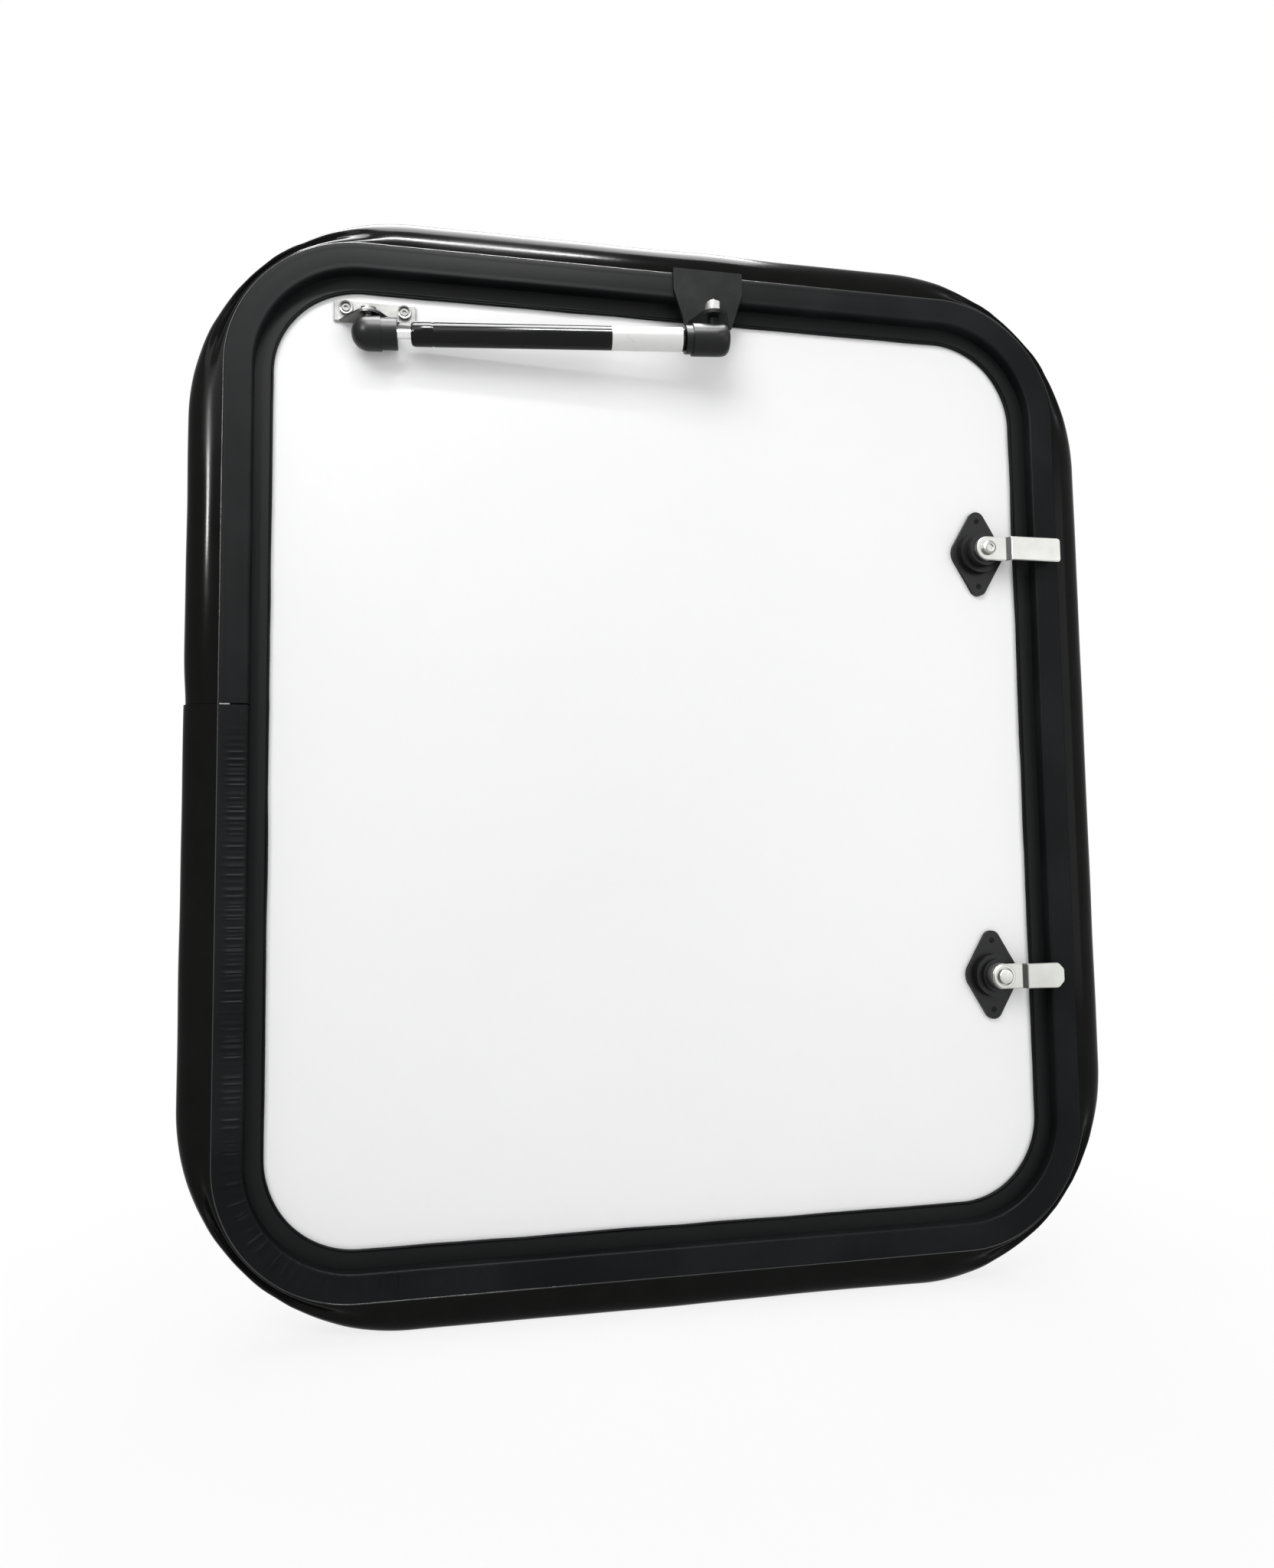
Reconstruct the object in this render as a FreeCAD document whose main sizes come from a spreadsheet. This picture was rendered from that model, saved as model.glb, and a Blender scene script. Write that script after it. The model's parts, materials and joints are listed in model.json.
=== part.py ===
import FreeCAD, Part
import math
import os
import Sketcher

doc = FreeCAD.newDocument("hatch")
dims = doc.addObject("Spreadsheet::Sheet", "Dims")

# Panel seen inside the seal, and the height of its lower edge over the origin
dims.set("A1", "505")
dims.setAlias("A1", "sight_width")
dims.set("A2", "595")
dims.setAlias("A2", "sight_height")
dims.set("A3", "56")
dims.setAlias("A3", "sight_radius")
dims.set("A4", "37.6")
dims.setAlias("A4", "sill_height")

# Jamb section, from the exterior flange to the stop
dims.set("A5", "2.5")
dims.setAlias("A5", "flange_thickness")
dims.set("A6", "50")
dims.setAlias("A6", "flange_reach")
dims.set("A7", "138")
dims.setAlias("A7", "flange_corner")
dims.set("A8", "2.1")
dims.setAlias("A8", "flange_hole_radius")
dims.set("A9", "43")
dims.setAlias("A9", "flange_hole_reach")
dims.set("A10", "150")
dims.setAlias("A10", "flange_hole_across")
dims.set("A11", "180")
dims.setAlias("A11", "flange_hole_up")
dims.set("A12", "2.5")
dims.setAlias("A12", "web_thickness")
dims.set("A13", "6.5")
dims.setAlias("A13", "web_bite")
dims.set("A14", "1.5")
dims.setAlias("A14", "stop_thickness")
dims.set("A15", "9.7")
dims.setAlias("A15", "stop_show")

# Rubber trim on the web, its hollow bulb and the flat seal under the stop
dims.set("A16", "17.3")
dims.setAlias("A16", "trim_width")
dims.set("A17", "9")
dims.setAlias("A17", "trim_height")
dims.set("A18", "12")
dims.setAlias("A18", "trim_leg")
dims.set("A19", "1.6")
dims.setAlias("A19", "trim_round")
dims.set("A20", "0.1")
dims.setAlias("A20", "trim_grip_gap")
dims.set("A21", "365")
dims.setAlias("A21", "trim_joint_height")
dims.set("A22", "0.9")
dims.setAlias("A22", "trim_joint_gap")
dims.set("A23", "21.8")
dims.setAlias("A23", "bulb_reach")
dims.set("A24", "22")
dims.setAlias("A24", "bulb_depth")
dims.set("A25", "0.6")
dims.setAlias("A25", "bulb_drop")
dims.set("A26", "10.4")
dims.setAlias("A26", "bulb_round")
dims.set("A27", "138")
dims.setAlias("A27", "bulb_corner")
dims.set("A28", "3.6")
dims.setAlias("A28", "bulb_wall")
dims.set("A29", "1.2")
dims.setAlias("A29", "seal_thickness")
dims.set("A30", "10")
dims.setAlias("A30", "seal_width")
dims.set("A31", "1.5")
dims.setAlias("A31", "lip_reach")
dims.set("A32", "0.3")
dims.setAlias("A32", "seat_gap")

# Door leaf
dims.set("A33", "30")
dims.setAlias("A33", "leaf_thickness")
dims.set("A34", "12.5")
dims.setAlias("A34", "leaf_overlap")
dims.set("A35", "1.5")
dims.setAlias("A35", "skin_thickness")
dims.set("A36", "2")
dims.setAlias("A36", "rim_thickness")

# Hinge on the outside, along the left edge
dims.set("A37", "462")
dims.setAlias("A37", "hinge_length")
dims.set("A38", "1.5")
dims.setAlias("A38", "hinge_leaf_thickness")
dims.set("A39", "16")
dims.setAlias("A39", "hinge_leaf_width")
dims.set("A40", "15.5")
dims.setAlias("A40", "hinge_offset")
dims.set("A41", "4")
dims.setAlias("A41", "knuckle_radius")
dims.set("A42", "11")
dims.setAlias("A42", "knuckle_count")
dims.set("A43", "0.6")
dims.setAlias("A43", "knuckle_gap")
dims.set("A44", "0.8")
dims.setAlias("A44", "knuckle_relief")
dims.set("A45", "2")
dims.setAlias("A45", "pin_radius")
dims.set("A46", "0.05")
dims.setAlias("A46", "pin_gap")
dims.set("A47", "3.4")
dims.setAlias("A47", "pin_head_radius")
dims.set("A48", "1.6")
dims.setAlias("A48", "pin_head_height")

# Gas strut, its two ball studs and brackets
dims.set("A49", "58")
dims.setAlias("A49", "door_ball_inset")
dims.set("A50", "12.5")
dims.setAlias("A50", "door_ball_stand")
dims.set("A51", "31")
dims.setAlias("A51", "door_ball_drop")
dims.set("A52", "280")
dims.setAlias("A52", "frame_ball_inset")
dims.set("A53", "26")
dims.setAlias("A53", "frame_ball_stand")
dims.set("A54", "22.6")
dims.setAlias("A54", "frame_ball_drop")
dims.set("A55", "5")
dims.setAlias("A55", "ball_radius")
dims.set("A56", "0.08")
dims.setAlias("A56", "ball_gap")
dims.set("A57", "3")
dims.setAlias("A57", "stud_radius")
dims.set("A58", "1.2")
dims.setAlias("A58", "stud_mouth_gap")
dims.set("A59", "5")
dims.setAlias("A59", "stud_head_radius")
dims.set("A60", "2.5")
dims.setAlias("A60", "stud_head_height")
dims.set("A61", "10.6")
dims.setAlias("A61", "rod_socket_radius")
dims.set("A62", "9.8")
dims.setAlias("A62", "rod_socket_waist")
dims.set("A63", "8")
dims.setAlias("A63", "rod_socket_bulk")
dims.set("A64", "17.9")
dims.setAlias("A64", "rod_socket_length")
dims.set("A65", "3")
dims.setAlias("A65", "rod_radius")
dims.set("A66", "8.5")
dims.setAlias("A66", "rod_show")
dims.set("A67", "120")
dims.setAlias("A67", "rod_inside")
dims.set("A68", "9")
dims.setAlias("A68", "rod_bite")
dims.set("A69", "7.5")
dims.setAlias("A69", "tube_radius")
dims.set("A70", "5.5")
dims.setAlias("A70", "tube_bore")
dims.set("A71", "9")
dims.setAlias("A71", "tube_cap")
dims.set("A72", "19.3")
dims.setAlias("A72", "tube_end_length")
dims.set("A73", "9")
dims.setAlias("A73", "tube_collar_radius")
dims.set("A74", "4.6")
dims.setAlias("A74", "tube_collar_length")
dims.set("A75", "10.3")
dims.setAlias("A75", "tube_socket_radius")
dims.set("A76", "0.08")
dims.setAlias("A76", "gland_gap")
dims.set("A77", "4")
dims.setAlias("A77", "frame_stud_radius")
dims.set("A78", "11.7")
dims.setAlias("A78", "door_tab_rise")
dims.set("A79", "52")
dims.setAlias("A79", "door_plate_width")
dims.set("A80", "13.8")
dims.setAlias("A80", "door_plate_height")
dims.set("A81", "62")
dims.setAlias("A81", "door_plate_inset")
dims.set("A82", "2")
dims.setAlias("A82", "door_plate_thickness")
dims.set("A83", "40")
dims.setAlias("A83", "door_tab_root")
dims.set("A84", "9")
dims.setAlias("A84", "door_tab_tip")
dims.set("A85", "20")
dims.setAlias("A85", "door_tab_reach")
dims.set("A86", "15")
dims.setAlias("A86", "frame_tab_rise")
dims.set("A87", "2.5")
dims.setAlias("A87", "frame_plate_thickness")
dims.set("A88", "47.6")
dims.setAlias("A88", "frame_plate_width")
dims.set("A89", "32")
dims.setAlias("A89", "frame_plate_foot")
dims.set("A90", "24")
dims.setAlias("A90", "frame_plate_shoulder")
dims.set("A91", "2.9")
dims.setAlias("A91", "frame_plate_rise")
dims.set("A92", "8")
dims.setAlias("A92", "frame_hook_depth")
dims.set("A93", "0.25")
dims.setAlias("A93", "frame_hook_gap")
dims.set("A94", "30")
dims.setAlias("A94", "frame_tab_root")
dims.set("A95", "9")
dims.setAlias("A95", "frame_tab_tip")
dims.set("A96", "20.5")
dims.setAlias("A96", "frame_tab_reach")
dims.set("A97", "0.7")
dims.setAlias("A97", "open_pivot_gap")
dims.set("A98", "5.8")
dims.setAlias("A98", "nut_radius")
dims.set("A99", "9")
dims.setAlias("A99", "nut_height")

# Two cam latches near the right edge
dims.set("A100", "28")
dims.setAlias("A100", "latch_inset")
dims.set("A101", "147")
dims.setAlias("A101", "latch_rise")
dims.set("A102", "30")
dims.setAlias("A102", "plate_half_height")
dims.set("A103", "20")
dims.setAlias("A103", "plate_half_width")
dims.set("A104", "6")
dims.setAlias("A104", "plate_tip")
dims.set("A105", "7")
dims.setAlias("A105", "plate_side")
dims.set("A106", "3")
dims.setAlias("A106", "plate_thickness")
dims.set("A107", "14.5")
dims.setAlias("A107", "collar_radius")
dims.set("A108", "8")
dims.setAlias("A108", "collar_height")
dims.set("A109", "10.5")
dims.setAlias("A109", "lock_tube_radius")
dims.set("A110", "0.25")
dims.setAlias("A110", "lock_hole_gap")
dims.set("A111", "8.5")
dims.setAlias("A111", "spindle_radius")
dims.set("A112", "0.08")
dims.setAlias("A112", "spindle_gap")
dims.set("A113", "16")
dims.setAlias("A113", "bezel_radius")
dims.set("A114", "4")
dims.setAlias("A114", "bezel_height")
dims.set("A115", "0.6")
dims.setAlias("A115", "plug_inset")
dims.set("A116", "16.5")
dims.setAlias("A116", "cam_width")
dims.set("A117", "2.5")
dims.setAlias("A117", "cam_thickness")
dims.set("A118", "3.2")
dims.setAlias("A118", "cam_step")
dims.set("A119", "3.5")
dims.setAlias("A119", "cam_clear")
dims.set("A120", "13.5")
dims.setAlias("A120", "cam_bend_start")
dims.set("A121", "2.6")
dims.setAlias("A121", "cam_bend_run")
dims.set("A122", "8.2")
dims.setAlias("A122", "cam_heel")
dims.set("A123", "7.8")
dims.setAlias("A123", "cam_heel_round")
dims.set("A124", "53.5")
dims.setAlias("A124", "upper_cam_length")
dims.set("A125", "1.2")
dims.setAlias("A125", "upper_cam_tip")
dims.set("A126", "43")
dims.setAlias("A126", "lower_cam_length")
dims.set("A127", "4.2")
dims.setAlias("A127", "lower_cam_tip")
dims.set("A128", "3")
dims.setAlias("A128", "cam_stud_radius")
dims.set("A129", "2.6")
dims.setAlias("A129", "cam_stud_show")
dims.set("A130", "11")
dims.setAlias("A130", "neck_radius")
dims.set("A131", "14.6")
dims.setAlias("A131", "upper_neck_height")
dims.set("A132", "10.5")
dims.setAlias("A132", "lower_neck_height")
doc.recompute()

# Levels over the flange's back face, towards the inside of the vehicle
PANEL = "(Dims.leaf_thickness - Dims.flange_thickness)"
STOP_BACK = "(" + PANEL + " + Dims.seat_gap + Dims.seal_thickness)"
STOP_FACE = "(" + STOP_BACK + " + Dims.stop_thickness)"
FLAT = "(" + STOP_FACE + " + Dims.trim_height)"
WEB_TOP = "(" + STOP_FACE + " + Dims.web_bite)"
BULB_FRONT = "(" + FLAT + " - Dims.bulb_drop)"
BULB_BACK = "(" + BULB_FRONT + " - Dims.bulb_depth)"

# Reaches outward from the panel's visible edge
TRIM_IN = "(Dims.lip_reach + Dims.stop_show)"
TRIM_OUT = "(" + TRIM_IN + " + Dims.trim_width)"
WEB_IN = "(" + TRIM_IN + " + (Dims.trim_width - Dims.web_thickness) / 2)"
WEB_OUT = "(" + WEB_IN + " + Dims.web_thickness)"
BULB_OUT = "(" + TRIM_OUT + " + Dims.bulb_reach)"

# Heights and sides
MIDDLE = "(Dims.sill_height + Dims.sight_height / 2)"
SIGHT_TOP = "(Dims.sill_height + Dims.sight_height)"
SIGHT_LEFT = "(-Dims.sight_width / 2)"
SIGHT_RIGHT = "(Dims.sight_width / 2)"


def body(label):
    made = doc.addObject("PartDesign::Body", label)
    made.Label = label
    return made


def sketch(owner, name, role, lift, across="0", up="0"):
    plane = [f for f in owner.Origin.OriginFeatures if f.Role == role][0]
    made = owner.newObject("Sketcher::SketchObject", name)
    made.AttachmentSupport = [(plane, "")]
    made.MapMode = "FlatFace"
    made.setExpression("AttachmentOffset.Base.x", across)
    made.setExpression("AttachmentOffset.Base.y", up)
    made.setExpression("AttachmentOffset.Base.z", lift)
    return made


def bind(drawn, constraint, name, expression):
    index = drawn.addConstraint(constraint)
    drawn.renameConstraint(index, name)
    drawn.setExpression("Constraints." + name, expression)


def rounded(drawn, tag, reach, corner):
    """A rounded rectangle, its sides outside the panel's visible edge by the reach."""
    first = drawn.GeometryCount
    wide = dims.sight_width / 2
    tall = dims.sight_height / 2
    turn = dims.sight_radius
    left, right = -wide + turn, wide - turn
    low, high = -tall + turn, tall - turn
    point = FreeCAD.Vector
    axis = FreeCAD.Vector(0, 0, 1)
    quarter = math.pi / 2
    drawn.addGeometry(Part.LineSegment(point(left, -tall, 0), point(right, -tall, 0)))
    drawn.addGeometry(Part.ArcOfCircle(Part.Circle(point(right, low, 0), axis, turn), -quarter, 0))
    drawn.addGeometry(Part.LineSegment(point(wide, low, 0), point(wide, high, 0)))
    drawn.addGeometry(Part.ArcOfCircle(Part.Circle(point(right, high, 0), axis, turn), 0, quarter))
    drawn.addGeometry(Part.LineSegment(point(right, tall, 0), point(left, tall, 0)))
    drawn.addGeometry(Part.ArcOfCircle(Part.Circle(point(left, high, 0), axis, turn), quarter, 2 * quarter))
    drawn.addGeometry(Part.LineSegment(point(-wide, high, 0), point(-wide, low, 0)))
    drawn.addGeometry(Part.ArcOfCircle(Part.Circle(point(left, low, 0), axis, turn), 2 * quarter, 3 * quarter))
    for step in range(8):
        here = first + step
        after = first + (step + 1) % 8
        drawn.addConstraint(Sketcher.Constraint("Tangent", here, 2, after, 1))
    drawn.addConstraint(Sketcher.Constraint("Horizontal", first))
    drawn.addConstraint(Sketcher.Constraint("Horizontal", first + 4))
    drawn.addConstraint(Sketcher.Constraint("Vertical", first + 2))
    drawn.addConstraint(Sketcher.Constraint("Vertical", first + 6))
    for arc in (3, 5, 7):
        drawn.addConstraint(Sketcher.Constraint("Equal", first + 1, first + arc))
    drawn.addConstraint(Sketcher.Constraint("Symmetric", first + 1, 3, first + 5, 3, -1, 1))
    across = Sketcher.Constraint("DistanceX", first + 6, 1, first + 2, 1, 2 * wide)
    bind(drawn, across, tag + "_across", "Dims.sight_width + 2 * " + reach)
    upward = Sketcher.Constraint("DistanceY", first, 1, first + 4, 1, 2 * tall)
    bind(drawn, upward, tag + "_upward", "Dims.sight_height + 2 * " + reach)
    bend = Sketcher.Constraint("Radius", first + 1, turn)
    bind(drawn, bend, tag + "_bend", corner)


def concentric(reach):
    return "Dims.sight_radius + " + reach


def pad(owner, name, drawn, length):
    made = owner.newObject("PartDesign::Pad", name)
    made.Profile = drawn
    made.setExpression("Length", length)
    drawn.Visibility = False
    return made


def ring(owner, name, lift, length, outer, inner):
    drawn = sketch(owner, name + "Outline", "XZ_Plane", lift, "0", MIDDLE)
    rounded(drawn, "outer", outer, concentric(outer))
    rounded(drawn, "inner", inner, concentric(inner))
    return pad(owner, name, drawn, length)


def plate(owner, name, lift, length, outer, corner):
    drawn = sketch(owner, name + "Outline", "XZ_Plane", lift, "0", MIDDLE)
    rounded(drawn, "outer", outer, corner)
    return pad(owner, name, drawn, length)


def rounding(owner, name, base, wanted, radius):
    doc.recompute()
    names = []
    for index, edge in enumerate(base.Shape.Edges):
        if wanted(edge):
            names.append("Edge" + str(index + 1))
    made = owner.newObject("PartDesign::Fillet", name)
    made.Base = (base, names)
    made.setExpression("Radius", radius)
    return made


def chamfering(owner, name, base, wanted, size):
    doc.recompute()
    names = []
    for index, edge in enumerate(base.Shape.Edges):
        if wanted(edge):
            names.append("Edge" + str(index + 1))
    made = owner.newObject("PartDesign::Chamfer", name)
    made.Base = (base, names)
    made.setExpression("Size", size)
    return made


def polygon(drawn, corners):
    """A closed outline through corners given as pairs of expressions."""
    count = len(corners)
    start = drawn.GeometryCount
    room = dims.sight_radius / 2
    for k in range(count):
        turn = 2 * math.pi * k / count
        after = 2 * math.pi * (k + 1) / count
        here = FreeCAD.Vector(room + room * math.cos(turn), room + room * math.sin(turn), 0)
        there = FreeCAD.Vector(room + room * math.cos(after), room + room * math.sin(after), 0)
        drawn.addGeometry(Part.LineSegment(here, there))
    for k in range(count):
        drawn.addConstraint(Sketcher.Constraint("Coincident", start + k, 2, start + (k + 1) % count, 1))
    for k, (across, up) in enumerate(corners):
        spot = "corner" + "abcdefghijkl"[k]
        bind(drawn, Sketcher.Constraint("DistanceX", -1, 1, start + k, 1, room), spot + "_across", across)
        bind(drawn, Sketcher.Constraint("DistanceY", -1, 1, start + k, 1, room), spot + "_up", up)


def tongue(drawn, root, tip, reach):
    """A tab's outline: a straight root, two straight sides and a round tip towards the viewer."""
    point = FreeCAD.Vector
    axis = FreeCAD.Vector(0, 0, 1)
    half = dims.frame_tab_root / 2
    bend = dims.frame_tab_tip
    depth = dims.frame_tab_reach - bend
    drawn.addGeometry(Part.LineSegment(point(-half, 0, 0), point(half, 0, 0)))
    drawn.addGeometry(Part.LineSegment(point(half, 0, 0), point(bend, -depth, 0)))
    round_tip = Part.ArcOfCircle(Part.Circle(point(0, -depth, 0), axis, bend), math.pi, 2 * math.pi)
    drawn.addGeometry(round_tip)
    drawn.addGeometry(Part.LineSegment(point(-bend, -depth, 0), point(-half, 0, 0)))
    drawn.addConstraint(Sketcher.Constraint("Coincident", 0, 2, 1, 1))
    drawn.addConstraint(Sketcher.Constraint("Coincident", 3, 2, 0, 1))
    drawn.addConstraint(Sketcher.Constraint("Tangent", 1, 2, 2, 2))
    drawn.addConstraint(Sketcher.Constraint("Tangent", 3, 1, 2, 1))
    drawn.addConstraint(Sketcher.Constraint("PointOnObject", 0, 1, -1))
    drawn.addConstraint(Sketcher.Constraint("PointOnObject", 2, 3, -2))
    drawn.addConstraint(Sketcher.Constraint("Symmetric", 0, 1, 0, 2, -1, 1))
    bind(drawn, Sketcher.Constraint("DistanceX", 0, 1, 0, 2, 2 * half), "root_across", root)
    bind(drawn, Sketcher.Constraint("Radius", 2, bend), "tip_bend", tip)
    bind(drawn, Sketcher.Constraint("DistanceY", 2, 3, -1, 1, depth), "tip_reach", reach + " - " + tip)


def block(name, x, y, z, length, width, height):
    made = doc.addObject("Part::Box", name)
    made.setExpression("Length", length)
    made.setExpression("Width", width)
    made.setExpression("Height", height)
    made.setExpression("Placement", "placement(vector(" + x + "; " + y + "; " + z + "); rotation(0; 0; 0))")
    return made


def rod(name, x, y, z, radius, length, turn="rotation(0; 0; 0)"):
    """A cylinder from the point; it runs upward unless turned."""
    made = doc.addObject("Part::Cylinder", name)
    made.setExpression("Radius", radius)
    made.setExpression("Height", length)
    made.setExpression("Placement", "placement(vector(" + x + "; " + y + "; " + z + "); " + turn + ")")
    return made


def ball(name, x, y, z, radius):
    made = doc.addObject("Part::Sphere", name)
    made.setExpression("Radius", radius)
    made.setExpression("Placement", "placement(vector(" + x + "; " + y + "; " + z + "); rotation(0; 0; 0))")
    return made


def fuse(name, pieces):
    made = doc.addObject("Part::MultiFuse", name)
    made.Shapes = pieces
    made.Refine = True
    made.Label = name
    return made


def cut(name, base, tool):
    made = doc.addObject("Part::Cut", name)
    made.Base = base
    made.Tool = tool
    made.Label = name
    return made


# A cylinder turned so that it runs from the exterior towards the inside of the vehicle
INWARD = "rotation(0; 0; 90)"

nodes = {}

# Jamb: exterior flange, web through the wall and stop, one bent extrusion
jamb = body("JambFrame")
flange = sketch(jamb, "FlangeOutline", "XZ_Plane", "-Dims.flange_thickness", "0", MIDDLE)
rounded(flange, "outer", "Dims.flange_reach", "Dims.flange_corner")
rounded(flange, "inner", WEB_IN, concentric(WEB_IN))
pad(jamb, "Flange", flange, "Dims.flange_thickness")
ring(jamb, "Web", "-Dims.flange_thickness", WEB_TOP + " + Dims.flange_thickness", WEB_OUT, WEB_IN)
ring(jamb, "Stop", STOP_BACK, "Dims.stop_thickness", WEB_IN, "Dims.lip_reach")
drills = []
SIDE = "(Dims.sight_width / 2 + Dims.flange_hole_reach)"
RISE = "(Dims.sight_height / 2 + Dims.flange_hole_reach)"
SPOTS = []
for hand in ("-", ""):
    for level in ("- Dims.flange_hole_up", "+ 0", "+ Dims.flange_hole_up"):
        SPOTS.append((hand + SIDE, MIDDLE + " " + level))
for level in ("- ", "+ "):
    for across in ("-Dims.flange_hole_across", "0", "Dims.flange_hole_across"):
        SPOTS.append((across, MIDDLE + " " + level + RISE))
for index, (across, up) in enumerate(SPOTS):
    name = "FlangeDrill" + str(index + 1)
    drills.append(rod(name, across, "2 * Dims.flange_thickness", up, "Dims.flange_hole_radius",
                      "4 * Dims.flange_thickness", INWARD))
nodes["jamb_frame"] = cut("JambDrilled", jamb, fuse("FlangeDrills", drills))

# Trim: a rubber channel gripping the web's edge, cut to length with its ends meeting at the left
trim = body("EdgeTrim")
ring(trim, "TrimHead", WEB_TOP + " + Dims.trim_grip_gap", FLAT + " - " + WEB_TOP + " - Dims.trim_grip_gap",
     TRIM_OUT, TRIM_IN)
ring(trim, "TrimInnerLeg", STOP_FACE, "Dims.trim_height", "(" + WEB_IN + " - Dims.trim_grip_gap)", TRIM_IN)
outer_leg = ring(trim, "TrimOuterLeg", STOP_FACE + " - Dims.trim_leg", "Dims.trim_height + Dims.trim_leg",
                 TRIM_OUT, "(" + WEB_OUT + " + Dims.trim_grip_gap)")
doc.recompute()
flat_level = -(outer_leg.Shape.BoundBox.YMin)


def on_flat(edge):
    box = edge.BoundBox
    return abs(box.YMin + flat_level) < 0.001 and abs(box.YMax + flat_level) < 0.001


rounding(trim, "TrimRounding", outer_leg, on_flat, "Dims.trim_round")
joint = block("TrimJoint", SIGHT_LEFT + " - 2 * " + BULB_OUT, "-2 * " + FLAT, "Dims.trim_joint_height",
              "2 * " + BULB_OUT, "4 * " + FLAT, "Dims.trim_joint_gap")
nodes["edge_trim"] = cut("EdgeTrimCut", trim, joint)

# Bulb: a hollow soft tube along the trim's outer side, drawn in narrower round the corners
bulb = body("BulbOuter")
solid = plate(bulb, "BulbSolid", BULB_BACK, "Dims.bulb_depth", BULB_OUT, "Dims.bulb_corner")
soft = rounding(bulb, "BulbRounding", solid, lambda edge: edge.BoundBox.YLength < 0.001, "Dims.bulb_round")
inner_space = body("BulbInner")
plate(inner_space, "BulbSeat", BULB_BACK + " - 1", "Dims.bulb_depth + 2", TRIM_OUT, concentric(TRIM_OUT))
shell = cut("BulbShell", bulb, inner_space)
hollow = body("BulbHollow")
hollow_solid = plate(hollow, "HollowSolid", BULB_BACK + " + Dims.bulb_wall", "Dims.bulb_depth - 2 * Dims.bulb_wall",
                     "(" + BULB_OUT + " - Dims.bulb_wall)", "Dims.bulb_corner - Dims.bulb_wall")
rounding(hollow, "HollowRounding", hollow_solid, lambda edge: edge.BoundBox.YLength < 0.001,
         "Dims.bulb_round - Dims.bulb_wall")
hollow_seat = body("HollowSeat")
plate(hollow_seat, "HollowCore", BULB_BACK, "Dims.bulb_depth", "(" + TRIM_OUT + " + Dims.bulb_wall)",
      concentric(TRIM_OUT) + " + Dims.bulb_wall")
bore = cut("BulbBore", hollow, hollow_seat)
tube = cut("BulbTube", shell, bore)

# Where the strut's bracket hooks behind the trim, the bulb is slit
HOOK_X = "(" + SIGHT_LEFT + " + Dims.frame_ball_inset)"
HOOK_Z = "(" + SIGHT_TOP + " + " + TRIM_OUT + ")"
slit = block("BulbSlit", HOOK_X + " - Dims.frame_plate_width / 2 - Dims.frame_hook_gap",
             "-" + FLAT + " - Dims.frame_plate_thickness", HOOK_Z + " - Dims.frame_hook_gap",
             "Dims.frame_plate_width + 2 * Dims.frame_hook_gap",
             "Dims.frame_plate_thickness + Dims.frame_hook_depth + Dims.frame_hook_gap",
             "Dims.frame_plate_rise + 2 * Dims.frame_hook_gap")
bulb_joint = block("BulbJoint", SIGHT_LEFT + " - 2 * " + BULB_OUT, "-2 * " + FLAT, "Dims.trim_joint_height",
                   "2 * " + BULB_OUT, "4 * " + FLAT, "Dims.trim_joint_gap")
nodes["bulb_seal"] = cut("BulbSeal", cut("BulbSlitted", tube, slit), bulb_joint)

# Seal: a flat rubber strip under the stop, its lip showing beyond the stop's edge
seal = body("StopSeal")
ring(seal, "SealStrip", PANEL + " + Dims.seat_gap", "Dims.seal_thickness", "Dims.seal_width", "0")
nodes["stop_seal"] = seal

# Frame bracket: a folded plate over the flat of the trim, hooked behind it, with a tab for the stud
bracket = body("FrameBracket")
TAB_LEVEL = "(" + SIGHT_TOP + " - Dims.frame_ball_drop + Dims.frame_tab_rise)"
PLATE_TALL = "(" + HOOK_Z + " + Dims.frame_plate_rise - " + TAB_LEVEL + ")"
face = sketch(bracket, "BracketFaceOutline", "XZ_Plane", FLAT,
              HOOK_X + " - Dims.frame_plate_width / 2", TAB_LEVEL)
FOOT_IN = "(Dims.frame_plate_width - Dims.frame_plate_foot) / 2"
polygon(face, [
    (FOOT_IN, "0"),
    ("Dims.frame_plate_width - " + FOOT_IN, "0"),
    ("Dims.frame_plate_width", "Dims.frame_plate_shoulder"),
    ("Dims.frame_plate_width", PLATE_TALL),
    ("0", PLATE_TALL),
    ("0", "Dims.frame_plate_shoulder"),
])
pad(bracket, "BracketFace", face, "Dims.frame_plate_thickness")
tab = sketch(bracket, "BracketTabOutline", "XY_Plane", TAB_LEVEL, HOOK_X, "-" + FLAT)
tongue(tab, "Dims.frame_tab_root", "Dims.frame_tab_tip", "(Dims.frame_tab_reach + Dims.frame_plate_thickness)")
pad(bracket, "BracketTab", tab, "Dims.frame_plate_thickness")
hook = block("BracketHook", HOOK_X + " - Dims.frame_plate_width / 2", "-" + FLAT,
             HOOK_Z + " + Dims.frame_hook_gap", "Dims.frame_plate_width", "Dims.frame_hook_depth",
             "Dims.frame_plate_rise - Dims.frame_hook_gap")
nodes["frame_strut_bracket"] = fuse("FrameStrutBracket", [bracket, hook])
FRAME_BALL_Y = "(-(" + PANEL + " + Dims.frame_ball_stand))"
FRAME_BALL_Z = "(" + SIGHT_TOP + " - Dims.frame_ball_drop)"
nut = doc.addObject("Part::Prism", "FrameStudNut")
nut.Polygon = 6
nut.setExpression("Circumradius", "Dims.nut_radius")
nut.setExpression("Height", "Dims.nut_height")
nut.setExpression("Placement", "placement(vector(" + HOOK_X + "; " + FRAME_BALL_Y + "; " + TAB_LEVEL
                  + " + Dims.frame_plate_thickness); rotation(0; 0; 0))")
nodes["frame_stud_nut"] = nut

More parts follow.
